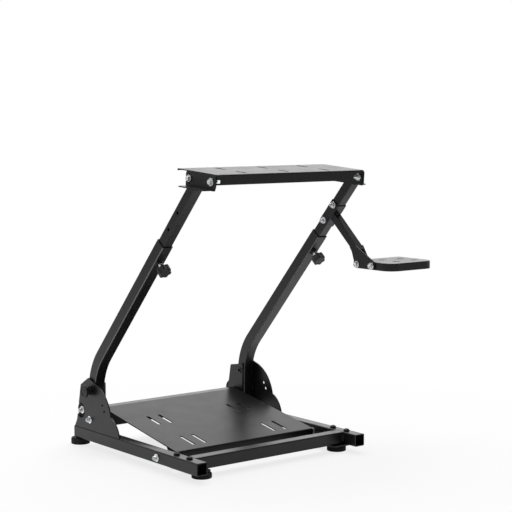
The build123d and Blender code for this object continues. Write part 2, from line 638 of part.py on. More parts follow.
def wheel_plate():
    """Bent sheet: slotted top, front and rear flanges cut back at their ends, and two side flanges."""
    width = 2 * PLATE_HALF_WIDTH
    half = SHEET / 2
    rear = WHEEL_PLATE_DEPTH - half
    plate = bent_sheet(width, (half, -EDGE_FLANGE), (half, -half), (rear, -half), (rear, -EDGE_FLANGE))
    bend = SHEET + SHEET_BEND
    relief = Box(2 * FLANGE_RELIEF, 4 * bend, 2 * (EDGE_FLANGE - bend))
    for x in (-PLATE_HALF_WIDTH, PLATE_HALF_WIDTH):
        for y in (0, WHEEL_PLATE_DEPTH):
            plate -= Pos(x, y, -EDGE_FLANGE) * relief
    flange_length = BRACKET_LENGTH - BRACKET_TOP_GAP
    flange = Pos(SHEET_BEND + flange_length / 2, -SIDE_FLANGE / 2) * Rectangle(flange_length, SIDE_FLANGE)
    flange = fillet(flange.vertices().group_by(Axis.Y)[0], PLATE_EDGE_RADIUS)
    for setback in (TILT_BOLT_SETBACK, TILT_BOLT_SETBACK + TILT_BOLT_SPACING):
        flange -= Pos(setback, -TILT_BOLT_DROP) * Circle(BOLT_HOLE_RADIUS)
    for side in (-1, 1):
        plate += plate_at(Plane.YZ * flange, PLATE_HALF_WIDTH - SHEET, SHEET, side)
    slot = Rot(0, 0, 90) * SlotOverall(WHEEL_SLOT_LENGTH, 2 * BOLT_HOLE_RADIUS)
    places = GridLocations(WHEEL_SLOT_PITCH_X / 2, WHEEL_SLOT_PITCH_Y, 3, 2)
    slots = Pos(0, WHEEL_PLATE_DEPTH / 2) * (Sketch() + [place * slot for place in places])
    plate -= extrude(slots, amount=2 * SHEET, both=True)
    return head_plane() * plate


def tilt_bolts(rear):
    """Pair of bolts through bracket leg and plate flange: front ones are the tilt axis."""
    setback = TILT_BOLT_SETBACK + (TILT_BOLT_SPACING if rear else 0.0)
    grip = BRACKET_SHEET + WHEEL_PLATE_GAP + SHEET + WASHER_GAP
    head_gap = WASHER_GAP if rear else 0.0
    bolts = []
    for side in (-1, 1):
        head = (side * (BRACKET_INNER_X + BRACKET_SHEET + head_gap), setback, -TILT_BOLT_DROP)
        inward = Plane(origin=head, x_dir=(0, 1, 0), z_dir=(-side, 0, 0))
        bolts.append(head_plane() * inward * through_bolt(grip, end=TILT_BOLT_END))
    return bolts


# Pedal tray and rear beam
BEAM_FRONT = PIVOT_Y + REAR_BEAM_BACK
BEAM_TOP = RAIL_TOP - REAR_BEAM_DROP + REAR_BEAM_HEIGHT
TRAY_HALF_WIDTH = RAIL_INNER_X - TRAY_SIDE_GAP
TRAY_BACK = BEAM_FRONT - 4.0
TRAY_FRONT_TOP = RAIL_TOP - TRAY_FRONT_DROP
TRAY_RISE = atan2(BEAM_TOP + SHEET - TRAY_FRONT_TOP, TRAY_BACK - TRAY_FRONT - SHEET / 2)


def rear_beam():
    """Rectangular tube between the inner cheeks that carries the back of the pedal tray."""
    half = CHEEK_X - PLATE_THICKNESS
    plane = Plane(
        origin=(-half, BEAM_FRONT + REAR_BEAM_DEPTH / 2, BEAM_TOP - REAR_BEAM_HEIGHT / 2),
        x_dir=(0, 1, 0),
        z_dir=(1, 0, 0),
    )
    section = tube_section(REAR_BEAM_DEPTH, REAR_BEAM_WALL, TUBE_CORNER, REAR_BEAM_HEIGHT)
    return extrude(plane * section, amount=2 * half)


def tray_plane():
    """Plane of the tray's top face: origin over its front bend, y up the slope."""
    half = SHEET / 2
    normal = (0, -sin(TRAY_RISE), cos(TRAY_RISE))
    origin = (0, TRAY_FRONT + half + half * normal[1], TRAY_FRONT_TOP - half + half * normal[2])
    return Plane(origin=origin, x_dir=(1, 0, 0), z_dir=normal)


def tray_bolt_place():
    """Centre in YZ of the bolts that hold the tray's ears to the rails."""
    return (TRAY_FRONT + TRAY_BOLT_BACK, TRAY_FRONT_TOP - TRAY_BOLT_DROP)


def pedal_tray():
    """Sloping slotted sheet with a front flange, an ear at each front corner and a level rear lip."""
    half = SHEET / 2
    tray = bent_sheet(
        2 * TRAY_HALF_WIDTH,
        (TRAY_FRONT + half, TRAY_FRONT_TOP - TRAY_FRONT_FLANGE),
        (TRAY_FRONT + half, TRAY_FRONT_TOP - half),
        (TRAY_BACK, BEAM_TOP + half),
        (TRAY_BACK + REAR_BEAM_DEPTH, BEAM_TOP + half),
    )
    slot = Rot(0, 0, 90) * SlotOverall(TRAY_SLOT_LENGTH, 2 * BOLT_HOLE_RADIUS)
    slots = [Pos(end * x, row) * slot for x in TRAY_SLOT_X for row in TRAY_SLOT_ROWS for end in (-1, 1)]
    tray -= extrude(tray_plane() * (Sketch() + slots), amount=2 * SHEET, both=True)
    bolt_y, bolt_z = tray_bolt_place()
    back = (TRAY_FRONT + TRAY_EAR_LENGTH, TRAY_FRONT_TOP - half + TRAY_EAR_LENGTH * tan(TRAY_RISE))
    low = bolt_z - TRAY_EAR_MARGIN
    front = TRAY_FRONT + SHEET
    ear = outline(
        Polyline(
            (front, TRAY_FRONT_TOP - half),
            back,
            (bolt_y + TRAY_EAR_MARGIN, low),
            (front, low),
            (front, TRAY_FRONT_TOP - half),
        )
    )
    ear = fillet(ear.vertices().group_by(Axis.Y)[0], PLATE_EDGE_RADIUS)
    ear -= Pos(bolt_y, bolt_z) * Circle(BOLT_HOLE_RADIUS)
    for side in (-1, 1):
        tray += plate_at(Plane.YZ * ear, TRAY_HALF_WIDTH - SHEET, SHEET, side)
    return tray


def tray_bolts():
    """Bolts through each rail, a spacer sleeve and the tray's ear."""
    y, z = tray_bolt_place()
    bolts = []
    for side in (-1, 1):
        grip = RAIL_SIDE + TRAY_SIDE_GAP + SHEET
        bolt = x_bolt(side * (BASE_WIDTH / 2 - grip), y, z, side, grip)
        spacer = x_cylinder(WASHER_RADIUS, *sorted((side * RAIL_INNER_X, side * TRAY_HALF_WIDTH)), y, z)
        bolts.append(bolt + spacer)
    return bolts


# Gear lever mount
def clamp_middle():
    """Distance up the axis of the middle of the clamp, between the two cross holes."""
    return sum(side_hole_places()) / 2


def lever_plane():
    """Plane across the upper tube at the clamp: x along X, y up the axis, z forward along the arm."""
    y, z = on_axis(clamp_middle())
    return Plane(origin=(UPRIGHT_X, y, z), x_dir=(1, 0, 0), z_dir=(0, *FORWARD))


def lever_clamp():
    """Channel round the front of the right upper tube, bolted through its two cross holes."""
    length = SIDE_HOLE_PITCH + 2 * CLAMP_MARGIN
    half = INNER_TUBE_SIDE / 2
    outer = half + CLAMP_SHEET
    section = Pos(0, 0) * Rectangle(2 * outer, INNER_TUBE_SIDE + CLAMP_SHEET)
    section = fillet(section.vertices().group_by(Axis.Y)[-1], CLAMP_SHEET)
    section -= Pos(0, -CLAMP_SHEET / 2) * Rectangle(2 * half, INNER_TUBE_SIDE)
    y, z = on_axis(clamp_middle() - length / 2, CLAMP_SHEET / 2)
    plane = Plane(origin=(UPRIGHT_X, y, z), x_dir=(1, 0, 0), z_dir=(0, *ALONG))
    if plane.y_dir.Y > 0:
        section = mirror(section, about=Plane.XZ)
    clamp = extrude(plane * section, amount=length)
    for distance in side_hole_places():
        x_from, x_to = UPRIGHT_X - 2 * outer, UPRIGHT_X + 2 * outer
        clamp -= x_cylinder(BOLT_HOLE_RADIUS, x_from, x_to, *on_axis(distance))
    return clamp


def lever_clamp_bolts():
    """Two bolts along X through the clamp and the upper tube."""
    outer = INNER_TUBE_SIDE / 2 + CLAMP_SHEET
    return [
        x_bolt(UPRIGHT_X + outer, *on_axis(distance), -1, 2 * outer) for distance in side_hole_places()
    ]


def arm_start():
    """Distance forward of the axis where the arm leaves the clamp's web."""
    return INNER_TUBE_SIDE / 2 + CLAMP_SHEET


def lever_arm():
    """Square tube square to the upright, from the clamp's web forward and down."""
    section = tube_section(ARM_SIDE, ARM_WALL, TUBE_CORNER - 1.0)
    return lever_plane() * Pos(0, 0, arm_start()) * extrude(section, amount=ARM_LENGTH)


def arm_point(forward, up=0.0):
    """Point in YZ beside the arm, forward along it and up across it."""
    return on_axis(clamp_middle() + up, arm_start() + forward)


LEVER_CHEEK_X = UPRIGHT_X - ARM_SIDE / 2 - CHEEK_SHEET


def lever_bolt_places():
    """Centres in YZ of the two bolts that hold the lever plate: rear one under the arm's end."""
    y, z = arm_point(ARM_LENGTH)
    rear = (y - 2.0, z - LEVER_BOLT_DROP)
    return (rear, (rear[0] - LEVER_BOLT_SPACING, rear[1]))


def lever_cheeks():
    """Gusset cheeks on both sides of the arm's end: the left one runs down to the plate's bolts."""
    rear, front = lever_bolt_places()
    low = rear[1] - CHEEK_DROP
    plate_top = rear[1] + LEVER_PLATE_FLANGE / 2
    arm_low = arm_point(ARM_LENGTH - 14.0, -ARM_SIDE / 2)
    arm_back = arm_point(ARM_LENGTH - 26.0, -ARM_SIDE / 2 + 2.0)
    arm_top = arm_point(ARM_LENGTH - 14.0, ARM_SIDE / 2)
    left = outline(
        Polyline(
            arm_back,
            arm_low,
            (rear[0] + CHEEK_MARGIN, plate_top),
            (rear[0] + CHEEK_MARGIN, low),
            (front[0] - CHEEK_MARGIN, low),
            (front[0] - CHEEK_MARGIN, plate_top),
            arm_top,
            arm_back,
        )
    )
    for y, z in (rear, front):
        left -= Pos(y, z) * Circle(BOLT_HOLE_RADIUS)
    floor_line = plate_top + 0.5
    right = outline(
        Polyline(
            arm_back,
            (rear[0] + CHEEK_MARGIN, floor_line),
            (rear[0] + CHEEK_MARGIN - RIGHT_CHEEK_FOOT, floor_line),
            arm_top,
            arm_back,
        )
    )
    cheek_left = plate_at(Plane.YZ * left, LEVER_CHEEK_X, CHEEK_SHEET, 1)
    cheek_right = plate_at(Plane.YZ * right, UPRIGHT_X + ARM_SIDE / 2, CHEEK_SHEET, 1)
    return [cheek_left, cheek_right]


def rounded_tray_block(block, inset):
    """Block with wide rounded front corners and small rounded rear ones, less an inset."""
    upright = block.edges().filter_by(Axis.Z).group_by(Axis.Y)
    block = fillet(upright[0], LEVER_CORNER_RADIUS - inset)
    return fillet(block.edges().filter_by(Axis.Z).group_by(Axis.Y)[-1], PLATE_EDGE_RADIUS - inset)


def lever_plate():
    """Level tray for a gear lever: top with slots, flanges down on the left, front, right and rear."""
    rear, front = lever_bolt_places()
    left_x = LEVER_CHEEK_X + CHEEK_SHEET
    top_z = rear[1] + LEVER_PLATE_FLANGE / 2
    front_y = front[0] - LEVER_PLATE_FRONT
    block = Pos(left_x, front_y, top_z - LEVER_PLATE_FLANGE) * Box(
        LEVER_PLATE_WIDTH, LEVER_PLATE_DEPTH, LEVER_PLATE_FLANGE, align=(Align.MIN, Align.MIN, Align.MIN)
    )
    hollow = Pos(left_x + SHEET, front_y + SHEET, top_z - LEVER_PLATE_FLANGE) * Box(
        LEVER_PLATE_WIDTH - 2 * SHEET,
        LEVER_PLATE_DEPTH - 2 * SHEET,
        LEVER_PLATE_FLANGE - SHEET,
        align=(Align.MIN, Align.MIN, Align.MIN),
    )
    block = rounded_tray_block(block, 0.0)
    block = fillet(block.faces().sort_by(Axis.Z)[-1].edges(), SHEET_BEND)
    plate = block - rounded_tray_block(hollow, SHEET)
    for y, z in (rear, front):
        plate -= x_cylinder(BOLT_HOLE_RADIUS, left_x - SHEET, left_x + 2 * SHEET, y, z)
    slots = [
        place * SlotOverall(LEVER_SLOT_LENGTH, 2 * BOLT_HOLE_RADIUS)
        for place in GridLocations(LEVER_SLOT_PITCH_X, LEVER_SLOT_PITCH_Y, 2, 2)
    ]
    centre = Pos(left_x + LEVER_PLATE_WIDTH / 2 + 12.0, front_y + LEVER_PLATE_DEPTH / 2, top_z)
    return plate - centre * extrude(Sketch() + slots, amount=2 * SHEET, both=True)


def lever_plate_bolts():
    """Two bolts along X through the left cheek, threaded in the plate's flange."""
    reach = CHEEK_SHEET + SHEET + 2 * BOLT_END
    return [x_bolt(LEVER_CHEEK_X, y, z, 1, reach, nut=False) for y, z in lever_bolt_places()]


def build():
    """All nodes by name; a list is one node of several separate solids."""
    nodes = {
        "front_cross_tube": front_cross_tube(),
        "rear_beam": rear_beam(),
        "stop_rollers": stop_rollers(),
        "corner_bolts": corner_bolts(),
        "rubber_feet": feet(),
        "rail_end_caps": [rail_cap(side, rear) for side in (-1, 1) for rear in (False, True)],
        "pedal_tray": pedal_tray(),
        "pedal_tray_bolts": tray_bolts(),
        "wheel_plate": wheel_plate(),
        "tilt_axis_bolts": tilt_bolts(rear=False),
        "tilt_lock_bolts": tilt_bolts(rear=True),
        "lever_clamp": lever_clamp(),
        "lever_clamp_bolts": lever_clamp_bolts(),
        "lever_arm": lever_arm(),
        "lever_arm_cheeks": lever_cheeks(),
        "lever_plate": lever_plate(),
        "lever_plate_bolts": lever_plate_bolts(),
    }
    for name, side in (("left", -1), ("right", 1)):
        nodes[name + "_rail"] = rail(side)
        nodes[name + "_corner_plate"] = corner_plate(side)
        nodes[name + "_outer_pivot_plate"] = outer_plate(side)
        nodes[name + "_inner_pivot_bracket"] = inner_bracket(side)
        nodes[name + "_pivot_bolt"] = pivot_bolt(side)
        nodes[name + "_stop_bolt"] = stop_bolt(side)
        nodes[name + "_lock_knob"] = lock_knob(side)
        nodes[name + "_lock_bush"] = lock_bush(side)
        nodes[name + "_lower_tube"] = lower_tube(side)
        nodes[name + "_weld_nut"] = weld_nut(side)
        nodes[name + "_star_knob"] = star_knob(side)
        nodes[name + "_clamp_stud"] = clamp_stud(side)
        nodes[name + "_upper_tube"] = upper_tube(side)
        nodes[name + "_head_bracket"] = head_bracket(side)
    return nodes


def main():
    """Build every node, move the footprint's middle to the origin and write one STEP per node."""
    nodes = {
        name: Compound(children=list(piece)) if isinstance(piece, list) else piece
        for name, piece in build().items()
    }
    boxes = [piece.bounding_box() for piece in nodes.values()]
    centre_x = (min(b.min.X for b in boxes) + max(b.max.X for b in boxes)) / 2
    centre_y = (min(b.min.Y for b in boxes) + max(b.max.Y for b in boxes)) / 2
    os.makedirs("parts", exist_ok=True)
    for name, piece in nodes.items():
        export_step(Pos(-centre_x, -centre_y, 0) * piece, "parts/" + name + ".step")
    print("footprint centre", round(centre_x, 3), round(centre_y, 3))


main()
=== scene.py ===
"""Folding racing wheel stand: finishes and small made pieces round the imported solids, in metres."""
import json
import math

import bmesh
import bpy
import numpy as np
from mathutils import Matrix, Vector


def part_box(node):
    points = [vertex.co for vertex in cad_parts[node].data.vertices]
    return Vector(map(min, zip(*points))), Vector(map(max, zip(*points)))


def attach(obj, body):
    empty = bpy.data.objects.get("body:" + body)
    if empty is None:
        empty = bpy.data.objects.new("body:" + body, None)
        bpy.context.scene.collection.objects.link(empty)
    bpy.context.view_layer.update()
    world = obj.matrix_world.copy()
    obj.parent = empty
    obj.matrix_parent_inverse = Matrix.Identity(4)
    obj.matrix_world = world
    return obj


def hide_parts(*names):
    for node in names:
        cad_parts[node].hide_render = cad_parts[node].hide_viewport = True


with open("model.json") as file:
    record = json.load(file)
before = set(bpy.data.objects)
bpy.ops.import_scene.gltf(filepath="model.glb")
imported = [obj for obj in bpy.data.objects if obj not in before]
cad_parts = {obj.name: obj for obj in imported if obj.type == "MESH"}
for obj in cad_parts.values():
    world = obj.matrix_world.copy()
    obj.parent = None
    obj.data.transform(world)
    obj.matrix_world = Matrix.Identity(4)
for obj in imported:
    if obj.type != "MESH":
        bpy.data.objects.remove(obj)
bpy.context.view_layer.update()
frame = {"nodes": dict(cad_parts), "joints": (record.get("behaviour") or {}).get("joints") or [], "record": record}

NODES = frame["nodes"]
JOINTS = {joint["name"]: joint for joint in frame["joints"]}
MOUNTS = {mount["name"]: mount for mount in frame["record"]["mounts"]}
SIDES = ("left", "right")
RIGHT = (1.0, 0.0, 0.0)
UP = (0.0, 0.0, 1.0)
QUARTER = math.pi / 2

# Camera: eye point, pan to the right of straight ahead, tilt down, focal length and sensor in mm
EYE = (-2.2158, -2.854867, 0.8407)
PAN = math.radians(38.2315)
TILT = math.radians(5.5795)
FOCAL = 102.59
SENSOR = 36.0
FARTHEST = 50.0

# Studio: way to its brightest part, how fast it falls off, its most and its least brightness
BACK_WAY = (0.6, 0.8, 0.0)
BACK_POWER = 4.5
BACK_LEVEL = 1.6
LEAST_LEVEL = 0.1
WHITE = (1.0, 1.0, 1.0, 1.0)
FLOOR_WHITE = (0.93, 0.93, 0.93, 1.0)
FLOOR_HALF = 12.0

# Floor's whites by distance: from, to, first share and last share; the pool is painted light, a glow that only
# mirrors see
SEEN_WHITE = (0.4, 1.1, 0.78, 1.0)
POOL_RISE = (0.2, 0.7, 0.25, 1.0)
POOL_FALL = (1.2, 4.2, 1.0, 0.0)

# Soft panels: name, place, size, watts and the point that each one faces
PANELS = (
    ("overhead_panel", (0.2, 0.3, 2.6), 2.2, 56.0, (0.0, 0.0, 0.2)),
    ("left_panel", (-2.6, 0.9, 1.5), 1.6, 8.0, (0.0, 0.0, 0.3)),
)

# Finishes: colours
COAT_BLACK = (0.0085, 0.0085, 0.0092, 1.0)
# Painted highlight along the coat's arrises, lighter than its black paint
COAT_PAINTED_HIGHLIGHT = (0.2, 0.2, 0.205, 1.0)
ZINC_BRIGHT = (0.94, 0.95, 0.97, 1.0)
ZINC_DULL = (0.5, 0.51, 0.53, 1.0)
PLASTIC_BLACK = (0.011, 0.011, 0.0115, 1.0)
# Painted highlight round the plastic knobs' rims and lobes
PLASTIC_PAINTED_HIGHLIGHT = (0.08, 0.08, 0.082, 1.0)
RUBBER_BLACK = (0.012, 0.012, 0.0125, 1.0)
RUBBER_DUSTY = (0.032, 0.031, 0.03, 1.0)

# Finishes: rounding of arrises, where their wear and painted highlight start and are full, strength of the painted
# highlight on tubes' round corners
ARRIS = 0.0006
FINE_ARRIS = 0.0003
SHARP_WEAR_AND_HIGHLIGHT = (0.995, 0.8)
ROUND_HIGHLIGHT = (0.3, 0.85)
TUBE_HIGHLIGHT = 0.9
BUMP_DEPTH = 0.0002
BROAD_TO_FINE = 0.03

# Meshes
AROUND = 96
TURN = 2.0 * math.pi * np.arange(AROUND) / AROUND
MERGE_DISTANCE = 1e-7
SLIVER = 1e-8
CREASE = math.radians(32.0)

# Hex fasteners: shouldered bolts with a thinner thread, broad washers and lock nuts
BOLT_RADIUS = 0.004
THREAD_RADIUS = 0.003
THREAD_PITCH = 0.001
THREAD_CLEARANCE = 0.0002
THREAD_ROWS = 6
THREAD_CONE = 0.8
HEX_FLATS = 0.0108
HEX_CROWN = 0.475 * HEX_FLATS
HEX_HEIGHT = 0.0055
HEX_DISH = 0.0004
HEX_STEP = 0.0002
COLLAR_HEIGHT = 0.0034
SUNK_END = 0.001
WASHER_RADIUS = 0.0093
SNUG_WASHER = 0.0085
SPACER_RADIUS = 0.0084
WASHER_THICKNESS = 0.0016
WASHER_EDGE = 0.00025
STACK = HEX_HEIGHT + WASHER_THICKNESS
BOLT_END = 0.003
TILT_BOLT_END = 0.012
TILT_STUB_END = 0.0045
CHAMFER_SLOPE = math.tan(math.radians(30.0))

# Stop rollers
ROLLER_RADIUS = 0.0228
ROLLER_ROUND = 0.0015
ROLLER_GROOVE = 0.0004
GROOVE_HALF = 0.0016

# Button heads on the rails
BUTTON_RADIUS = 0.0078
BUTTON_RISE = 0.0062
BUTTON_RIM = 0.0016
BUTTON_SOCKET = 0.005
SOCKET_EDGE = 0.0003
SOCKET_DEPTH = 0.0024
SOCKET_POINT = 0.0002
CROWN_START = 0.42

# Rubber feet
FOOT_STEM = 0.002
STEM_RADIUS = 0.0115
FOOT_HOLLOW = 0.0012
FOOT_SHOULDER = 0.0034
FOOT_LAND = 0.0052
FOOT_SINK = 0.0006

# Foot's wall with its groove: depth below the full radius, and height
FOOT_WALL = (
    (0.0014, 0.0),
    (0.0004, 0.0004),
    (0.0, 0.0014),
    (0.0, 0.0032),
    (0.0007, 0.0036),
    (0.0007, 0.0044),
    (0.0, 0.0048),
)

# Sheets and plates
TRAY_SHEET = 0.0025
PIVOT_SHEET = 0.0035
PLATE_SHEET = 0.0025
FLANGE_TOP = 0.0045
FLANGE_BOTTOM = 0.024
FLANGE_REACH = 0.031
WINDOW_WIDTH = 0.0105
WINDOW_TOP = 0.0125
WINDOW_BOTTOM = 0.0202
WINDOW_CORNER = 0.0015
TILT_SETBACK = 0.0155
TILT_DROP = 0.018
BRACKET_FOOT_BACK = 0.04336
BRACKET_FOOT_DROP = 0.020

# Clamp knobs
KNOB_STANDOFF = 0.016
KNOB_THICKNESS = 0.018
KNOB_RADIUS = 0.0165
KNOB_VALLEY = 0.0134
KNOB_LOBES = 6
KNOB_HOLE = 0.002
KNOB_BOSS = 0.0085
KNOB_BACK_ROUND = 0.0016
KNOB_FRONT_ROUND = 0.0026
KNOB_LAND = 0.0046
KNOB_DISH = 0.0007
KNOB_DISH_SLOPE = 0.0008
KNOB_EYE = 0.0046
KNOB_EYE_SLOPE = 0.0006
STUD_RADIUS = 0.005
STUD_ROOT = 0.0042
STUD_PITCH = 0.0015
STUD_INSIDE = 0.002
STUD_POINT = 0.001
FERRULE_RADIUS = 0.0065
FERRULE_LENGTH = 0.008
FERRULE_EDGE = 0.0006
WELD_NUT_FLATS = 0.017
WELD_NUT_HEIGHT = 0.005
WELD_NUT_BORE = 0.0051
WELD_NUT_LEAD = 0.0006
WELD_NUT_LEG = 0.0021
WELD_NUT_RIPPLES = 15

# Fold lock knobs and their bushes
PIN_RADIUS = 0.004
PIN_POINT = 0.0006
LOCK_WAIST = 0.62
LOCK_FLANGE = 0.002
LOCK_COLLAR = 0.003
LOCK_EDGE = 0.0004
LOCK_RIM = 0.006
LOCK_LIP = 0.0018
FLUTES = 24
FLUTE_DEPTH = 0.00028
FLUTE_SINK = 0.0003
FLUTE_START = 0.0054
FLUTE_END = 0.0024
LOCK_DISH = 0.0012
BUSH_BORE = 0.0042
BUSH_NECK = 0.006
BUSH_ROUND = 0.0007
BUSH_LEAD = 0.0006

# Weld beads: leg sizes, ripple step, room left at corners, and tacks along the pivot plates
BEAD_LEG = 0.0034
PLATE_LEG = 0.003
BRACKET_LEG = 0.0028
BEAD_STEP = 0.0026
TUBE_CORNER = 0.004
ARM_CORNER = 0.0025
SLOPE_CORNER = 0.003
BRACKET_ROOM = (0.005, 0.012)
TACK_LENGTH = 0.024
TACK_SHARES = (0.04, 0.24, 0.86)


# Shader nodes
def fill(tree, socket, value):
    """Input set to a value, or linked where the value is an output."""
    if isinstance(value, bpy.types.NodeSocket):
        tree.links.new(value, socket)
    else:
        socket.default_value = value


def reckoned(tree, operation, *values):
    """Output of a Math node on outputs and numbers."""
    node = tree.nodes.new("ShaderNodeMath")
    node.operation = operation
    for socket, value in zip(node.inputs, values):
        fill(tree, socket, value)
    return node.outputs[0]


def measured(tree, operation, *values):
    """Number that a Vector Math node puts out."""
    node = tree.nodes.new("ShaderNodeVectorMath")
    node.operation = operation
    for socket, value in zip(node.inputs, values):
        fill(tree, socket, value)
    return node.outputs["Value"]


def ranged(tree, value, start, end, low=0.0, high=1.0):
    """Output of a Map Range node: start to end becomes low to high, and nothing goes past them."""
    node = tree.nodes.new("ShaderNodeMapRange")
    given = {"Value": value, "From Min": start, "From Max": end, "To Min": low, "To Max": high}
    for socket, setting in given.items():
        fill(tree, node.inputs[socket], setting)
    return node.outputs["Result"]


def new_group(name, inputs, outputs):
    """Node group with its inputs, as name and first value, and its outputs, as name and kind."""
    group = bpy.data.node_groups.new(name, "ShaderNodeTree")
    for title, value in inputs.items():
        socket = group.interface.new_socket(title, in_out="INPUT", socket_type="NodeSocketFloat")
        socket.default_value = value
    for title, kind in outputs.items():
        group.interface.new_socket(title, in_out="OUTPUT", socket_type="NodeSocket" + kind)
    return group, group.nodes.new("NodeGroupInput"), group.nodes.new("NodeGroupOutput")


def grain_group():
    """Node group: fine noise for the relief, broad noise for how the gloss varies."""
    group, inside, outside = new_group(
        "fine_grain",
        {"Scale": 900.0, "Low": 0.3, "High": 0.5},
        {"Height": "Float", "Roughness": "Float", "Patches": "Float"},
    )
    place = group.nodes.new("ShaderNodeTexCoord").outputs["Object"]
    scale = inside.outputs["Scale"]
    noises = []
    for detail, size in ((3.0, scale), (4.0, reckoned(group, "MULTIPLY", scale, BROAD_TO_FINE))):
        noise = group.nodes.new("ShaderNodeTexNoise")
        noise.inputs["Detail"].default_value = detail
        fill(group, noise.inputs["Vector"], place)
        fill(group, noise.inputs["Scale"], size)
        noises.append(noise.outputs["Fac"])
    fine, broad = noises
    gloss = ranged(group, broad, 0.0, 1.0, inside.outputs["Low"], inside.outputs["High"])
    for title, value in (("Height", fine), ("Roughness", gloss), ("Patches", broad)):
        fill(group, outside.inputs[title], value)
    return group


def arris_group():
    """Node group: normals rounded over a sharp edge, and a mask of edges for wear and painted highlight.

    A sharp edge's mask is how far the rounded normal leans from the face's own. A tube's is
    2 |nx| sqrt(1 - nx nx), greatest half-way round the corner from a side to the next: a painted highlight.
    """
    group, inside, outside = new_group(
        "arris_wear_and_highlight",
        {"Radius": ARRIS, "Patches": 0.5, "Tube": 0.0},
        {"Mask": "Float", "Normal": "Vector"},
    )
    bevel = group.nodes.new("ShaderNodeBevel")
    bevel.samples = 4
    fill(group, bevel.inputs["Radius"], inside.outputs["Radius"])
    rounded = bevel.outputs["Normal"]
    own = group.nodes.new("ShaderNodeNewGeometry").outputs["Normal"]
    split = group.nodes.new("ShaderNodeSeparateXYZ")
    fill(group, split.inputs["Vector"], own)
    # Sharp edges: mask for wear and painted highlight, patchy by the grain
    lean = ranged(group, measured(group, "DOT_PRODUCT", rounded, own), *SHARP_WEAR_AND_HIGHLIGHT)
    sharp = reckoned(group, "MULTIPLY", lean, inside.outputs["Patches"])
    across = reckoned(group, "ABSOLUTE", split.outputs["X"])
    square = reckoned(group, "MULTIPLY", across, across)
    rest = reckoned(group, "SQRT", reckoned(group, "SUBTRACT", 1.0, square))
    half_way = reckoned(group, "MULTIPLY", reckoned(group, "MULTIPLY", across, rest), 2.0)
    corner = ranged(group, half_way, *ROUND_HIGHLIGHT)
    # Round corners of the tubes get a painted highlight, scaled by Tube
    tube = reckoned(group, "MULTIPLY", corner, inside.outputs["Tube"])
    fill(group, outside.inputs["Mask"], reckoned(group, "MAXIMUM", sharp, tube))
    fill(group, outside.inputs["Normal"], rounded)
    return group


GRAIN_GROUP = grain_group()
ARRIS_GROUP = arris_group()


def placed_group(tree, group, **settings):
    """Outputs of a node group placed in a material with its own settings."""
    node = tree.nodes.new("ShaderNodeGroup")
    node.node_tree = group
    for title, value in settings.items():
        fill(tree, node.inputs[title], value)
    return node.outputs


def finish(name, fresh, edge_wear_and_highlight, scale, low, high, bump, metallic=0.0, specular=0.5, edge=ARRIS,
           tube=0.0):
    """Principled material: fresh colour, a second colour at the arrises for wear and painted highlight, relief and
    gloss from the grain.

    Scale is the grain's, low and high are the limits of the roughness.
    """
    material = bpy.data.materials.new(name)
    material.use_nodes = True
    tree = material.node_tree
    shader = tree.nodes["Principled BSDF"]
    shader.inputs["Metallic"].default_value = metallic
    shader.inputs["Specular IOR Level"].default_value = specular
    grain = placed_group(tree, GRAIN_GROUP, Scale=scale, Low=low, High=high)
    arris = placed_group(tree, ARRIS_GROUP, Radius=edge, Tube=tube, Patches=grain["Patches"])
    tone = tree.nodes.new("ShaderNodeMix")
    tone.data_type = "RGBA"
    for title, value in (("A", fresh), ("B", edge_wear_and_highlight), ("Factor", arris["Mask"])):
        fill(tree, tone.inputs[title], value)
    relief = tree.nodes.new("ShaderNodeBump")
    relief.inputs["Strength"].default_value = bump
    relief.inputs["Distance"].default_value = BUMP_DEPTH
    fill(tree, relief.inputs["Height"], grain["Height"])
    fill(tree, relief.inputs["Normal"], arris["Normal"])
    fill(tree, shader.inputs["Base Color"], tone.outputs["Result"])
    fill(tree, shader.inputs["Roughness"], grain["Roughness"])
    fill(tree, shader.inputs["Normal"], relief.outputs["Normal"])
    return material


COAT = {"fresh": COAT_BLACK, "edge_wear_and_highlight": COAT_PAINTED_HIGHLIGHT, "scale": 700.0, "low": 0.26, "high": 0.40,
        "bump": 0.25, "specular": 0.4}
# Arris colours: painted highlight on coat and plastic, dull wear on zinc, dust on rubber
FINISHES = {
    "black_steel": finish("satin_black_coat", **COAT),
    "zinc_steel": finish("bright_zinc", ZINC_BRIGHT, ZINC_DULL, scale=1200.0, low=0.2, high=0.34,
                         bump=0.1, metallic=0.75, edge=FINE_ARRIS),
    "black_plastic": finish("moulded_plastic", PLASTIC_BLACK, PLASTIC_PAINTED_HIGHLIGHT, scale=1500.0,
                            low=0.42, high=0.56, bump=0.3),
    "black_rubber": finish("moulded_rubber", RUBBER_BLACK, RUBBER_DUSTY, scale=1100.0,
                           low=0.68, high=0.86, bump=0.5, specular=0.35),
}
# Tube coat: the same coat with a painted highlight along the round corners of the lower tubes
TUBE_COAT = finish("satin_black_tube", tube=TUBE_HIGHLIGHT, **COAT)

for part in frame["record"]["subparts"]:
    lower_tube = part["node"].endswith("_lower_tube")
    mesh = NODES[part["node"]].data
    mesh.materials.clear()
    mesh.materials.append(TUBE_COAT if lower_tube else FINISHES[part["material_slot"]])


# Surfaces as grids of points
def quads(rows, columns, ring):
    """Corners of a grid's faces: columns join round, and rows too where the grid is a ring."""
    down = np.arange(rows if ring else rows - 1)[:, None]
    across = np.arange(columns)[None, :]
    after = (across + 1) % columns
    below = (down + 1) % rows
    corners = (down * columns + across, down * columns + after,
               below * columns + after, below * columns + across)
    return np.stack(corners, axis=-1).reshape(-1, 4)


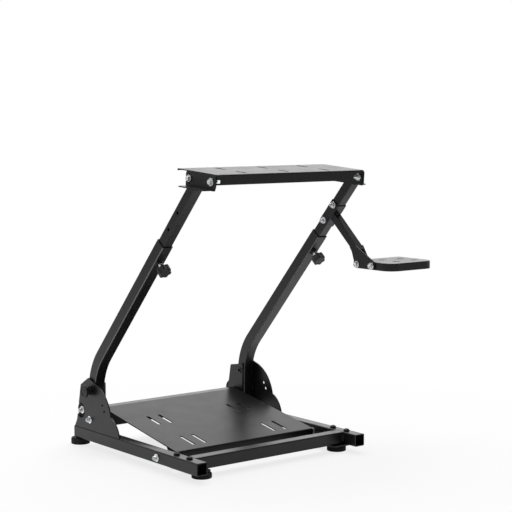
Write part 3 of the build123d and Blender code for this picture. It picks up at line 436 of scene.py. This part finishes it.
def lathe(rows, ring=False):
    """Rows round an axis: x = r cos a, y = r sin a, z = h, with r and h alike or one an angle."""
    radius = np.stack([np.broadcast_to(row[0], AROUND) for row in rows])
    height = np.stack([np.broadcast_to(row[1], AROUND) for row in rows])
    points = np.stack([radius * np.cos(TURN), radius * np.sin(TURN), height], axis=-1)
    return points.reshape(-1, 3), quads(len(rows), AROUND, ring)


def round_out(radius, size, count):
    """Quarter round from a face at zero to a wall: r = R - s (1 - sin a), z = s (1 - cos a)."""
    swing = np.linspace(0.0, QUARTER, count)
    return [(radius - size * (1 - math.sin(a)), size * (1 - math.cos(a))) for a in swing]


def round_in(radius, top, size, count):
    """Quarter round from a wall to a top face: r = R - s (1 - cos a), z = h - s (1 - sin a)."""
    swing = np.linspace(0.0, QUARTER, count)
    return [(radius - size * (1 - math.cos(a)), top - size * (1 - math.sin(a))) for a in swing]


def set_at(surface, origin, axis):
    """Surface moved so that its axis runs along the given one, by a right-handed frame."""
    points, faces = surface
    along = np.array(axis, float)
    along /= np.linalg.norm(along)
    helper = np.array(UP if abs(along[2]) < 0.9 else (0.0, 1.0, 0.0))
    across = np.cross(helper, along)
    across /= np.linalg.norm(across)
    turn = np.stack([across, np.cross(along, across), along])
    return points @ turn + np.array(origin), faces


def shown(name, data):
    """New object in the scene, unturned at the origin."""
    item = bpy.data.objects.new(name, data)
    bpy.context.scene.collection.objects.link(item)
    return item


def piece(name, surfaces, body, slot, *nodes):
    """One object of several surfaces, doubles merged and normals outwards, riding on a body."""
    starts = np.cumsum([0] + [len(points) for points, _ in surfaces])
    points = np.concatenate([points for points, _ in surfaces])
    faces = np.concatenate([faces + start for (_, faces), start in zip(surfaces, starts)])
    mesh = bpy.data.meshes.new(name)
    mesh.from_pydata(points.tolist(), [], faces.tolist())
    work = bmesh.new()
    work.from_mesh(mesh)
    bmesh.ops.remove_doubles(work, verts=work.verts, dist=MERGE_DISTANCE)
    bmesh.ops.dissolve_degenerate(work, edges=work.edges, dist=SLIVER)
    bmesh.ops.recalc_face_normals(work, faces=work.faces)
    work.to_mesh(mesh)
    work.free()
    mesh.shade_smooth()
    mesh.set_sharp_from_angle(angle=CREASE)
    mesh.materials.append(FINISHES[slot])
    made = shown(name, mesh)
    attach(made, body)
    if nodes:
        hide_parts(*nodes)


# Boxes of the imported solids
def parted(node, *axes):
    """Boxes (low, high) of a node's points, parted at each group's middle along the axes."""
    flat = np.empty(3 * len(NODES[node].data.vertices))
    NODES[node].data.vertices.foreach_get("co", flat)
    groups = [flat.reshape(-1, 3)]
    for axis in axes:
        split = []
        for points in groups:
            level = (points[:, axis].min() + points[:, axis].max()) / 2
            split += [points[points[:, axis] < level], points[points[:, axis] >= level]]
        groups = split
    return [(points.min(axis=0), points.max(axis=0)) for points in groups]


def middle(box):
    """Middle point of a box."""
    return (np.array(box[0]) + np.array(box[1])) / 2


def width(box):
    """Size of a box along X."""
    return box[1][0] - box[0][0]


MID_X = (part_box("left_rail")[0].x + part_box("right_rail")[1].x) / 2
RAIL_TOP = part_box("left_rail")[1].z


def inward(box):
    """Way along X that leads from a box towards the stand's middle."""
    return 1.0 if middle(box)[0] < MID_X else -1.0


# Hex fasteners
def hexagon(flats):
    """Radius by angle of a hexagon: half the flats over the cosine from a flat's middle."""
    return flats / 2 / np.cos((TURN + math.pi / 6) % (math.pi / 3) - math.pi / 6)


def washer_rows(start, outer):
    """Washer with its two outer edges broken, from one face to the other."""
    end = start + WASHER_THICKNESS
    return [
        (outer - WASHER_EDGE, start),
        (outer, start + WASHER_EDGE),
        (outer, end - WASHER_EDGE),
        (outer - WASHER_EDGE, end),
    ]


def head_rows():
    """Hex head from its dished top at zero down: corners cut by a cone, with a step at its foot."""
    corner = hexagon(HEX_FLATS)
    return [
        (0.0, HEX_DISH),
        (0.62 * HEX_CROWN, HEX_DISH),
        (0.76 * HEX_CROWN, 0.0),
        (HEX_CROWN, 0.0),
        (corner, (corner - HEX_CROWN) * CHAMFER_SLOPE),
        (corner, HEX_HEIGHT - HEX_STEP),
        (0.97 * HEX_CROWN, HEX_HEIGHT - HEX_STEP),
        (0.97 * HEX_CROWN, HEX_HEIGHT),
    ]


def nut_rows(start):
    """Lock nut: hexagon coned at both ends, then a rounded collar round the bolt."""
    corner = hexagon(HEX_FLATS)
    cone = (corner - HEX_CROWN) * CHAMFER_SLOPE
    top = start + HEX_HEIGHT
    return [
        (HEX_CROWN, start),
        (corner, start + cone),
        (corner, top - cone),
        (HEX_CROWN, top),
        (0.88 * HEX_CROWN, top),
        (0.88 * HEX_CROWN, top + 0.8 * COLLAR_HEIGHT),
        (0.78 * HEX_CROWN, top + COLLAR_HEIGHT),
        (THREAD_RADIUS + THREAD_CLEARANCE, top + COLLAR_HEIGHT),
    ]


def thread_rows(start, end, radius, pitch):
    """Screw thread: r = R - p / 2 |2 frac(z / p - a / turn) - 1|, coned over the last of it."""
    length = abs(end - start)
    heights = np.linspace(start, end, int(round(THREAD_ROWS * length / pitch)) + 1)[:, None]
    phase = (heights / pitch - TURN / (2.0 * math.pi)) % 1.0
    groove = radius - 0.5 * pitch * np.abs(2.0 * phase - 1.0)
    past = np.abs(heights - start) - length + THREAD_CONE * pitch
    cone = radius - np.clip(past, 0.0, None)
    return list(zip(np.minimum(groove, cone), heights[:, 0]))


def bolt_rows(grip, head=True, nut=True, end=None, sleeve=None, washer=WASHER_RADIUS):
    """Bolt from its head's top: head, washer, shank or sleeve in the grip, washer, nut and end.

    The end is sunk in the nut's collar, or stands out from the nut as a thread of that length.
    """
    seat = STACK if head else 0.0
    rows = head_rows() + washer_rows(HEX_HEIGHT, washer) if head else [(0.0, 0.0)]
    rows += [(BOLT_RADIUS, seat)]
    if sleeve:
        low, high, outer = seat + sleeve[0], seat + sleeve[1], sleeve[2]
        rows += [(BOLT_RADIUS, low), (outer - WASHER_EDGE, low), (outer, low + WASHER_EDGE)]
        rows += [(outer, high - WASHER_EDGE), (outer - WASHER_EDGE, high), (BOLT_RADIUS, high)]
    far = seat + grip
    rows += [(BOLT_RADIUS, far)]
    if not nut:
        return rows + [(0.0, far)]
    rows += washer_rows(far, washer) + nut_rows(far + WASHER_THICKNESS)
    top = far + STACK
    if not end:
        sunk = top - SUNK_END
        return rows + [(THREAD_RADIUS + THREAD_CLEARANCE, sunk), (0.0, sunk)]
    rows += thread_rows(top + COLLAR_HEIGHT, top + end, THREAD_RADIUS, THREAD_PITCH)
    return rows + [(0.0, top + end)]


def cross_bolt(box, way, grip, **options):
    """Bolt along X in a box, its head's top at the box's end that the way leads from."""
    start = middle(box)
    start[0] = box[0][0] if way > 0 else box[1][0]
    return set_at(lathe(bolt_rows(grip, **options)), start, (way, 0.0, 0.0))


def nut_grip(box, end=BOLT_END):
    """Grip of a bolt with a nut: its box's length less head, nut, two washers and its end."""
    return width(box) - 2 * STACK - end


for node, body, washer in (
    ("tilt_axis_bolts", "mast", WASHER_RADIUS),
    ("tilt_lock_bolts", "wheel_deck", SNUG_WASHER),
):
    made = []
    for box in parted(node, 0):
        way = inward(box)
        end = TILT_STUB_END if way > 0 else TILT_BOLT_END
        made.append(cross_bolt(box, way, nut_grip(box, TILT_BOLT_END), end=end, washer=washer))
    piece(node + "_made", made, body, "zinc_steel", node)

made = [cross_bolt(box, -1.0, nut_grip(box), washer=SNUG_WASHER)
        for box in parted("lever_clamp_bolts", 1)]
piece("lever_clamp_bolts_made", made, "mast", "zinc_steel", "lever_clamp_bolts")

made = [cross_bolt(box, 1.0, width(box) - STACK, nut=False, washer=SNUG_WASHER)
        for box in parted("lever_plate_bolts", 1)]
piece("lever_plate_bolts_made", made, "mast", "zinc_steel", "lever_plate_bolts")

tray_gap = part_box("pedal_tray")[0].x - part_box("left_rail")[1].x
spacer = (TRAY_SHEET, TRAY_SHEET + tray_gap, SPACER_RADIUS)
made = [cross_bolt(box, -inward(box), nut_grip(box), sleeve=spacer)
        for box in parted("pedal_tray_bolts", 0)]
piece("pedal_tray_bolts_made", made, "base", "zinc_steel", "pedal_tray_bolts")

for side in SIDES:
    box = parted(side + "_pivot_bolt")[0]
    made = cross_bolt(box, -inward(box), nut_grip(box))
    piece(side + "_pivot_bolt_made", [made], "base", "zinc_steel", side + "_pivot_bolt")
    box = parted(side + "_stop_bolt")[0]
    made = cross_bolt(box, -inward(box), width(box) - STACK - BOLT_END, head=False)
    piece(side + "_stop_bolt_made", [made], "base", "zinc_steel", side + "_stop_bolt")


def roller_rows(length):
    """Buffer with rounded ends: r = R less a raised cosine at a third and at two thirds."""
    bore = BOLT_RADIUS + THREAD_CLEARANCE
    run = np.linspace(ROLLER_ROUND, length - ROLLER_ROUND, 41)[1:-1]
    third = np.minimum(np.abs(run - length / 3), np.abs(run - 2 * length / 3))
    wave = ROLLER_GROOVE * (1 + np.cos(math.pi * third / GROOVE_HALF))
    dip = np.where(third < GROOVE_HALF, wave, 0.0)
    return [
        (bore, 0.0),
        *round_out(ROLLER_RADIUS, ROLLER_ROUND, 6),
        *zip(ROLLER_RADIUS - dip, run),
        *round_in(ROLLER_RADIUS, length, ROLLER_ROUND, 6),
        (bore, length),
    ]


made = []
for box in parted("stop_rollers", 0):
    start = middle(box)
    start[0] = box[0][0]
    made.append(set_at(lathe(roller_rows(width(box)), ring=True), start, RIGHT))
piece("stop_rollers_made", made, "base", "black_rubber", "stop_rollers")


# Button heads on the rails' tops
def button_at(box):
    """Button head on the rail: hex socket, crown z = b + (h - b) cos a, short rim, then shank."""
    foot = box[0][2] - RAIL_TOP
    socket = hexagon(BUTTON_SOCKET)
    swing = np.linspace(CROWN_START, QUARTER, 9)
    crown = (BUTTON_RISE - BUTTON_RIM) / math.cos(swing[0])
    rows = [
        (0.0, BUTTON_RISE - SOCKET_DEPTH - SOCKET_POINT),
        (socket, BUTTON_RISE - SOCKET_DEPTH),
        (socket, BUTTON_RISE - SOCKET_EDGE),
        (socket + SOCKET_EDGE, BUTTON_RISE),
        *((BUTTON_RADIUS * math.sin(a) ** 0.9, BUTTON_RIM + crown * math.cos(a)) for a in swing),
        (BUTTON_RADIUS, 0.0),
        (BOLT_RADIUS, 0.0),
        (BOLT_RADIUS, foot),
        (0.0, foot),
    ]
    place = middle(box)
    place[2] = RAIL_TOP
    return set_at(lathe(rows), place, UP)


made = [button_at(box) for box in parted("corner_bolts", 0, 1)]
piece("corner_bolts_made", made, "base", "black_steel", "corner_bolts")


# Rubber feet
def foot_at(box):
    """Foot from the floor up: floor ring, wall with a groove, round shoulder, sunk top and stem."""
    radius = width(box) / 2
    height = box[1][2] - box[0][2]
    crown = height - FOOT_STEM
    rows = [
        (0.0, FOOT_HOLLOW),
        (0.6 * radius, FOOT_HOLLOW),
        (0.64 * radius, 0.0),
        *((radius - depth, level) for depth, level in FOOT_WALL),
        *round_in(radius, crown, FOOT_SHOULDER, 8),
        (radius - FOOT_LAND, crown),
        (radius - FOOT_LAND - FOOT_SINK, crown - FOOT_SINK),
        (STEM_RADIUS + FOOT_SINK, crown - FOOT_SINK),
        (STEM_RADIUS, crown),
        (STEM_RADIUS, height),
        (0.0, height),
    ]
    place = middle(box)
    place[2] = box[0][2]
    return set_at(lathe(rows), place, UP)


made = [foot_at(box) for box in parted("rubber_feet", 0, 1)]
piece("rubber_feet_made", made, "base", "black_rubber", "rubber_feet")


# Clamp knobs, studs and welded nuts
def star_rows():
    """Star grip: R(a) from valley to lobe by a raised cosine, rounded edges and a dished front."""
    wave = (0.5 + 0.5 * np.cos(KNOB_LOBES * TURN)) ** 0.8
    rim = KNOB_VALLEY + (KNOB_RADIUS - KNOB_VALLEY) * wave
    dish = KNOB_THICKNESS - KNOB_DISH
    return [
        (0.0, KNOB_HOLE),
        (STUD_RADIUS, KNOB_HOLE),
        (STUD_RADIUS, 0.0),
        (KNOB_BOSS, 0.0),
        *round_out(rim, KNOB_BACK_ROUND, 7),
        *round_in(rim, KNOB_THICKNESS, KNOB_FRONT_ROUND, 7),
        (rim - KNOB_LAND, KNOB_THICKNESS),
        (rim - KNOB_LAND - KNOB_DISH_SLOPE, dish),
        (KNOB_EYE + KNOB_EYE_SLOPE, dish),
        (KNOB_EYE, KNOB_THICKNESS),
        (0.0, KNOB_THICKNESS),
    ]


def stud_rows():
    """Threaded stud from inside the tube to the grip, with a rounded ferrule against the grip."""
    neck = KNOB_STANDOFF - FERRULE_LENGTH
    return [
        (0.0, -STUD_INSIDE),
        (STUD_ROOT, -STUD_INSIDE),
        *thread_rows(-STUD_INSIDE, neck, STUD_RADIUS, STUD_PITCH),
        (STUD_ROOT, neck),
        (FERRULE_RADIUS - FERRULE_EDGE, neck),
        (FERRULE_RADIUS, neck + FERRULE_EDGE),
        (FERRULE_RADIUS, KNOB_STANDOFF),
        (STUD_RADIUS, KNOB_STANDOFF),
        (0.0, KNOB_STANDOFF + STUD_POINT),
    ]


def weld_nut_rows():
    """Hex nut with a rippled weld round its foot: an arc from tube to nut, waved by angle."""
    corner = hexagon(WELD_NUT_FLATS)
    crown = 0.475 * WELD_NUT_FLATS
    leg = WELD_NUT_LEG * (0.85 + 0.15 * np.abs(np.sin(WELD_NUT_RIPPLES * TURN)))
    swing = np.linspace(0.0, QUARTER, 6)
    top = WELD_NUT_HEIGHT
    return [
        *((corner + leg * math.cos(a) ** 1.3, leg * math.sin(a) ** 1.3) for a in swing),
        (corner, top - (corner - crown) * CHAMFER_SLOPE),
        (crown, top),
        (WELD_NUT_BORE + WELD_NUT_LEAD, top),
        (WELD_NUT_BORE, top - WELD_NUT_LEAD),
        (WELD_NUT_BORE, 0.0),
    ]


for side in SIDES:
    joint = JOINTS[side + "_clamp"]
    face = np.array(joint["pos_m"])
    forward = np.array(joint["axis"])
    body = side + "_clamp_knob"
    grip = set_at(lathe(star_rows()), face + KNOB_STANDOFF * forward, forward)
    piece(side + "_star_knob_made", [grip], body, "black_plastic", side + "_star_knob")
    stud = set_at(lathe(stud_rows()), face, forward)
    piece(side + "_clamp_stud_made", [stud], body, "zinc_steel", side + "_clamp_stud")
    nut = set_at(lathe(weld_nut_rows(), ring=True), face, forward)
    piece(side + "_weld_nut_made", [nut], "uprights", "black_steel", side + "_weld_nut")


# Fold lock knobs
def lock_rows(radius, length, pin):
    """Pull knob: pin, collar, waist swept out to a fluted rim r + d cos 24 a, and a ringed face."""
    waist = LOCK_WAIST * radius
    collar = waist + LOCK_FLANGE
    rim = radius + FLUTE_DEPTH * np.cos(FLUTES * TURN) - FLUTE_SINK
    neck = LOCK_COLLAR + LOCK_EDGE
    rise = length - LOCK_RIM - neck
    share = np.linspace(0.0, 1.0, 9)
    return [
        (0.0, -pin),
        (PIN_RADIUS - PIN_POINT, -pin),
        (PIN_RADIUS, PIN_POINT - pin),
        (PIN_RADIUS, 0.0),
        (collar - LOCK_EDGE, 0.0),
        (collar, LOCK_EDGE),
        (collar, LOCK_COLLAR - LOCK_EDGE),
        (collar - LOCK_EDGE, LOCK_COLLAR),
        (waist, LOCK_COLLAR),
        *((waist + (radius - waist) * s ** 2.2, neck + rise * s) for s in share),
        (rim, length - FLUTE_START),
        (rim, length - FLUTE_END),
        *round_in(radius, length, LOCK_LIP, 6)[1:],
        (0.84 * radius, length),
        (0.78 * radius, length - LOCK_DISH),
        (0.3 * radius, length - LOCK_DISH),
        (0.26 * radius, length - LOCK_DISH / 2),
        (0.0, length - LOCK_DISH / 2),
    ]


def bush_rows(radius, length):
    """Bush in the bracket: plain neck, then a flange with a round rim and a bore with a lead-in."""
    return [
        (BUSH_BORE, 0.0),
        (BUSH_NECK, 0.0),
        (BUSH_NECK, PIVOT_SHEET),
        (radius, PIVOT_SHEET),
        *round_in(radius, length, BUSH_ROUND, 5),
        (BUSH_BORE + BUSH_LEAD, length),
        (BUSH_BORE, length - BUSH_LEAD),
    ]


for side, way in zip(SIDES, (-1.0, 1.0)):
    low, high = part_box(side + "_lock_knob")
    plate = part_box(side + "_outer_pivot_plate")
    outer = plate[0].x if way < 0 else plate[1].x
    pin = abs((high.x if way < 0 else low.x) - outer)
    rows = lock_rows((high.y - low.y) / 2, high.x - low.x - pin, pin)
    centre = (outer, (low.y + high.y) / 2, (low.z + high.z) / 2)
    knob = set_at(lathe(rows), centre, (way, 0.0, 0.0))
    piece(side + "_lock_knob_made", [knob], "base", "black_plastic", side + "_lock_knob")
    low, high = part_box(side + "_lock_bush")
    rows = bush_rows((high.y - low.y) / 2, high.x - low.x)
    start = (low.x if way < 0 else high.x, centre[1], centre[2])
    bush = set_at(lathe(rows, ring=True), start, (-way, 0.0, 0.0))
    piece(side + "_lock_bush_made", [bush], "base", "black_steel", side + "_lock_bush")


# Left end of the wheel plate's front flange, with a window for the tilt bolt's end
def flange_end():
    """Sheet round an open window: the section from window to outline, carried along the edge.

    Across is measured inwards from the side flange, up from the plate's top. The window's inner
    corners are quarter circles, and the outline's corners stand opposite them.
    """
    swing = np.linspace(0.0, QUARTER, 6)
    bend = WINDOW_WIDTH - WINDOW_CORNER
    across = [
        0.0,
        *(bend + WINDOW_CORNER * np.sin(swing)),
        *(bend + WINDOW_CORNER * np.cos(swing)),
        0.0,
    ]
    lift = [
        -WINDOW_TOP,
        *(-WINDOW_TOP - WINDOW_CORNER * (1 - np.cos(swing))),
        *(-WINDOW_BOTTOM + WINDOW_CORNER * (1 - np.sin(swing))),
        -WINDOW_BOTTOM,
    ]
    half = len(swing) + 1
    reach = [0.0, *(2 * len(swing) * [FLANGE_REACH - PLATE_SHEET]), 0.0]
    window = np.stack([across, lift], axis=-1)
    edges = np.stack([reach, half * [-FLANGE_TOP] + half * [-FLANGE_BOTTOM]], axis=-1)
    upward = np.array(MOUNTS["wheel_face"]["axis"], float)
    backward = np.array((0.0, upward[2], -upward[1]))
    origin = np.array(JOINTS["wheel_tilt"]["pos_m"], float)
    origin += TILT_DROP * upward - TILT_SETBACK * backward
    origin[0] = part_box("wheel_plate")[0].x + PLATE_SHEET

    def placed(line, depth):
        return origin + line[:, :1] * np.array(RIGHT) + line[:, 1:] * upward + depth * backward

    section = [
        placed(window, 0.0),
        placed(edges, 0.0),
        placed(edges, PLATE_SHEET),
        placed(window, PLATE_SHEET),
    ]
    points = np.stack(section, axis=1)
    rows, columns = points.shape[:2]
    ends = np.array([np.arange(columns), np.arange(columns) + (rows - 1) * columns])
    return points.reshape(-1, 3), np.concatenate([quads(rows, columns, False), ends])


piece("wheel_plate_flange_end", [flange_end()], "wheel_deck", "black_steel")


# Welds
def bead(start, end, out_a, out_b, leg=BEAD_LEG):
    """Weld in a corner: a fan of radius leg (0.82 + 0.18 |sin|) swept from face to face on a line.

    The corner's own line closes the section, and the radius falls to nothing at both ends.
    """
    start, end = np.array(start, float), np.array(end, float)
    length = np.linalg.norm(end - start)
    along = np.linspace(0.0, 1.0, max(int(8 * length / BEAD_STEP), 24))[:, None]
    fan = np.linspace(0.0, QUARTER, 9)[None, :]
    bulge = np.sin(2.0 * fan)
    ripple = np.abs(np.sin(math.pi * along * length / BEAD_STEP + 0.9 * bulge))
    taper = np.clip(np.minimum(along, 1.0 - along) * length / leg, 0.0, 1.0) ** 0.5
    radius = leg * taper * (0.82 + 0.18 * ripple) * (1.0 - 0.12 * bulge)
    line = (start + along * (end - start))[:, None, :]
    a_part = (radius * np.cos(fan))[..., None] * np.array(out_a, float)
    b_part = (radius * np.sin(fan))[..., None] * np.array(out_b, float)
    points = np.concatenate([line, line + a_part + b_part], axis=1)
    rows, columns = points.shape[:2]
    return points.reshape(-1, 3), quads(rows, columns, False)


def base_welds():
    """Beads of the base: cross tube, plates and brackets on the rails, rear beam on brackets."""
    beads = []
    tube_low, tube_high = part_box("front_cross_tube")
    beam_low, beam_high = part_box("rear_beam")
    for side, way in zip(SIDES, (1.0, -1.0)):
        inner = (way, 0, 0)
        low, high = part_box(side + "_inner_pivot_bracket")
        x = tube_low.x if way > 0 else tube_high.x
        foot, top = tube_low.z + TUBE_CORNER, tube_high.z - TUBE_CORNER
        for y, out in ((tube_low.y, -1.0), (tube_high.y, 1.0)):
            beads.append(bead((x, y, foot), (x, y, top), inner, (0, out, 0)))
        x = beam_low.x if way > 0 else beam_high.x
        foot, top = low.z + TUBE_CORNER, beam_high.z - TUBE_CORNER / 2
        for y, out in ((beam_low.y, -1.0), (beam_high.y, 1.0)):
            beads.append(bead((x, y, foot), (x, y, top), inner, (0, out, 0)))
        plate_low, plate_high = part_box(side + "_outer_pivot_plate")
        x = plate_low.x + PIVOT_SHEET if way > 0 else plate_high.x - PIVOT_SHEET
        foot = plate_low.z
        for share in TACK_SHARES:
            y = plate_low.y + share * (plate_high.y - plate_low.y)
            beads.append(bead((x, y, foot), (x, y + TACK_LENGTH, foot), inner, UP, PLATE_LEG))
        left, right = BRACKET_ROOM if way > 0 else BRACKET_ROOM[::-1]
        for y, out in ((low.y, -1.0), (high.y, 1.0)):
            start, end = (low.x + left, y, low.z), (high.x - right, y, low.z)
            beads.append(bead(start, end, (0, out, 0), UP, BRACKET_LEG))
    return beads


def mast_welds():
    """Beads of the mast: arm on its clamp, and head brackets on the cut ends of the upper tubes."""
    beads = []
    along = np.array(JOINTS["height"]["axis"])
    forward = np.array(JOINTS["left_clamp"]["axis"])
    right = np.array(RIGHT)
    low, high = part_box("lever_arm")
    half = (high.x - low.x) / 2
    root = np.array(((low.x + high.x) / 2, high.y + half * along[1], high.z - half * along[2]))
    run = half - ARM_CORNER
    for out, lead in ((along, right), (-along, right), (right, along), (-right, along)):
        edge = root + half * out
        beads.append(bead(edge - run * lead, edge + run * lead, forward, out, PLATE_LEG))
    upward = np.array(MOUNTS["wheel_face"]["axis"])
    back = np.array((0.0, upward[2], -upward[1]))
    axis_point = np.array(JOINTS["wheel_tilt"]["pos_m"])
    for side in SIDES:
        low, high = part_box(side + "_upper_tube")
        half = (high.x - low.x) / 2
        foot = axis_point + BRACKET_FOOT_BACK * back - BRACKET_FOOT_DROP * upward
        foot[0] = (low.x + high.x) / 2
        slope = half / abs(np.dot(along, upward))
        run = half - SLOPE_CORNER
        for out, place in ((forward, foot - slope * back), (-forward, foot + slope * back)):
            beads.append(bead(place - run * right, place + run * right, out, -upward, PLATE_LEG))
    return beads


piece("base_welds", base_welds(), "base", "black_steel")
piece("mast_welds", mast_welds(), "mast", "black_steel")


# Studio
def floor_paint():
    """Floor's material, by the distance r from the stand's middle.

    The camera sees a share of plain white that grows with r. Mirrors see a painted pool of light, a white glow
    which grows with r and fades again further out. All other light sees the paint alone.
    """
    material = bpy.data.materials.new("pale_floor")
    material.use_nodes = True
    tree = material.node_tree
    paint = tree.nodes["Principled BSDF"]
    paint.inputs["Base Color"].default_value = FLOOR_WHITE
    paint.inputs["Roughness"].default_value = 0.9
    paint.inputs["Specular IOR Level"].default_value = 0.1
    glow = tree.nodes.new("ShaderNodeEmission")
    glow.inputs["Strength"].default_value = 1.0
    path = tree.nodes.new("ShaderNodeLightPath").outputs
    place = tree.nodes.new("ShaderNodeTexCoord").outputs["Object"]
    away = measured(tree, "LENGTH", place)
    near = ranged(tree, away, *SEEN_WHITE)
    rise = ranged(tree, away, *POOL_RISE)
    fall = ranged(tree, away, *POOL_FALL)
    pool = reckoned(tree, "MULTIPLY", rise, fall)
    seen = reckoned(tree, "MULTIPLY", path["Is Camera Ray"], near)
    # Painted light: a glowing pool on the floor that only reflections see
    mirrored = reckoned(tree, "MULTIPLY", path["Is Glossy Ray"], pool)
    mix = tree.nodes.new("ShaderNodeMixShader")
    fill(tree, mix.inputs["Fac"], reckoned(tree, "ADD", seen, mirrored))
    fill(tree, mix.inputs[1], paint.outputs["BSDF"])
    fill(tree, mix.inputs[2], glow.outputs["Emission"])
    fill(tree, tree.nodes["Material Output"].inputs["Surface"], mix.outputs["Shader"])
    return material


def lay_floor():
    """Square floor at height zero."""
    mesh = bpy.data.meshes.new("floor")
    ways = ((-1, -1), (1, -1), (1, 1), (-1, 1))
    corners = [(x * FLOOR_HALF, y * FLOOR_HALF, 0.0) for x, y in ways]
    mesh.from_pydata(corners, [], [(0, 1, 2, 3)])
    mesh.materials.append(floor_paint())
    floor = shown("floor", mesh)


def surround():
    """World that the camera sees white, and that lights the stand by L d ** p + l.

    d goes from 0 straight in front to 1 along the way to the back.
    """
    world = bpy.data.worlds.new("studio")
    bpy.context.scene.world = world
    world.use_nodes = True
    tree = world.node_tree
    dome = tree.nodes["Background"]
    dome.inputs["Color"].default_value = WHITE
    white = tree.nodes.new("ShaderNodeBackground")
    white.inputs["Color"].default_value = WHITE
    white.inputs["Strength"].default_value = 1.0
    place = tree.nodes.new("ShaderNodeTexCoord").outputs["Generated"]
    depth = ranged(tree, measured(tree, "DOT_PRODUCT", place, BACK_WAY), -1.0, 1.0)
    rise = reckoned(tree, "POWER", depth, BACK_POWER)
    level = reckoned(tree, "MULTIPLY_ADD", rise, BACK_LEVEL, LEAST_LEVEL)
    fill(tree, dome.inputs["Strength"], level)
    path = tree.nodes.new("ShaderNodeLightPath").outputs
    mix = tree.nodes.new("ShaderNodeMixShader")
    fill(tree, mix.inputs["Fac"], path["Is Camera Ray"])
    fill(tree, mix.inputs[1], dome.outputs["Background"])
    fill(tree, mix.inputs[2], white.outputs["Background"])
    fill(tree, tree.nodes["World Output"].inputs["Surface"], mix.outputs["Shader"])


def hang_panels():
    """Square soft lamps, each turned from straight down to the point that it faces."""
    for name, place, size, power, aim in PANELS:
        lamp = bpy.data.lights.new(name, "AREA")
        lamp.size = size
        lamp.energy = power
        holder = shown(name, lamp)
        holder.location = place
        way = np.array(aim) - np.array(place)
        tilt = math.acos(-way[2] / np.linalg.norm(way))
        holder.rotation_euler = (tilt, 0.0, math.atan2(-way[0], way[1]))


def set_camera():
    """Camera at the photograph's eye point."""
    lens = bpy.data.cameras.new("camera")
    lens.lens = FOCAL
    lens.sensor_width = SENSOR
    lens.clip_end = FARTHEST
    eye = shown("camera", lens)
    eye.location = EYE
    eye.rotation_euler = (QUARTER - TILT, 0.0, -PAN)
    bpy.context.scene.camera = eye


lay_floor()
surround()
hang_panels()
set_camera()
bpy.context.scene.view_settings.view_transform = "Standard"
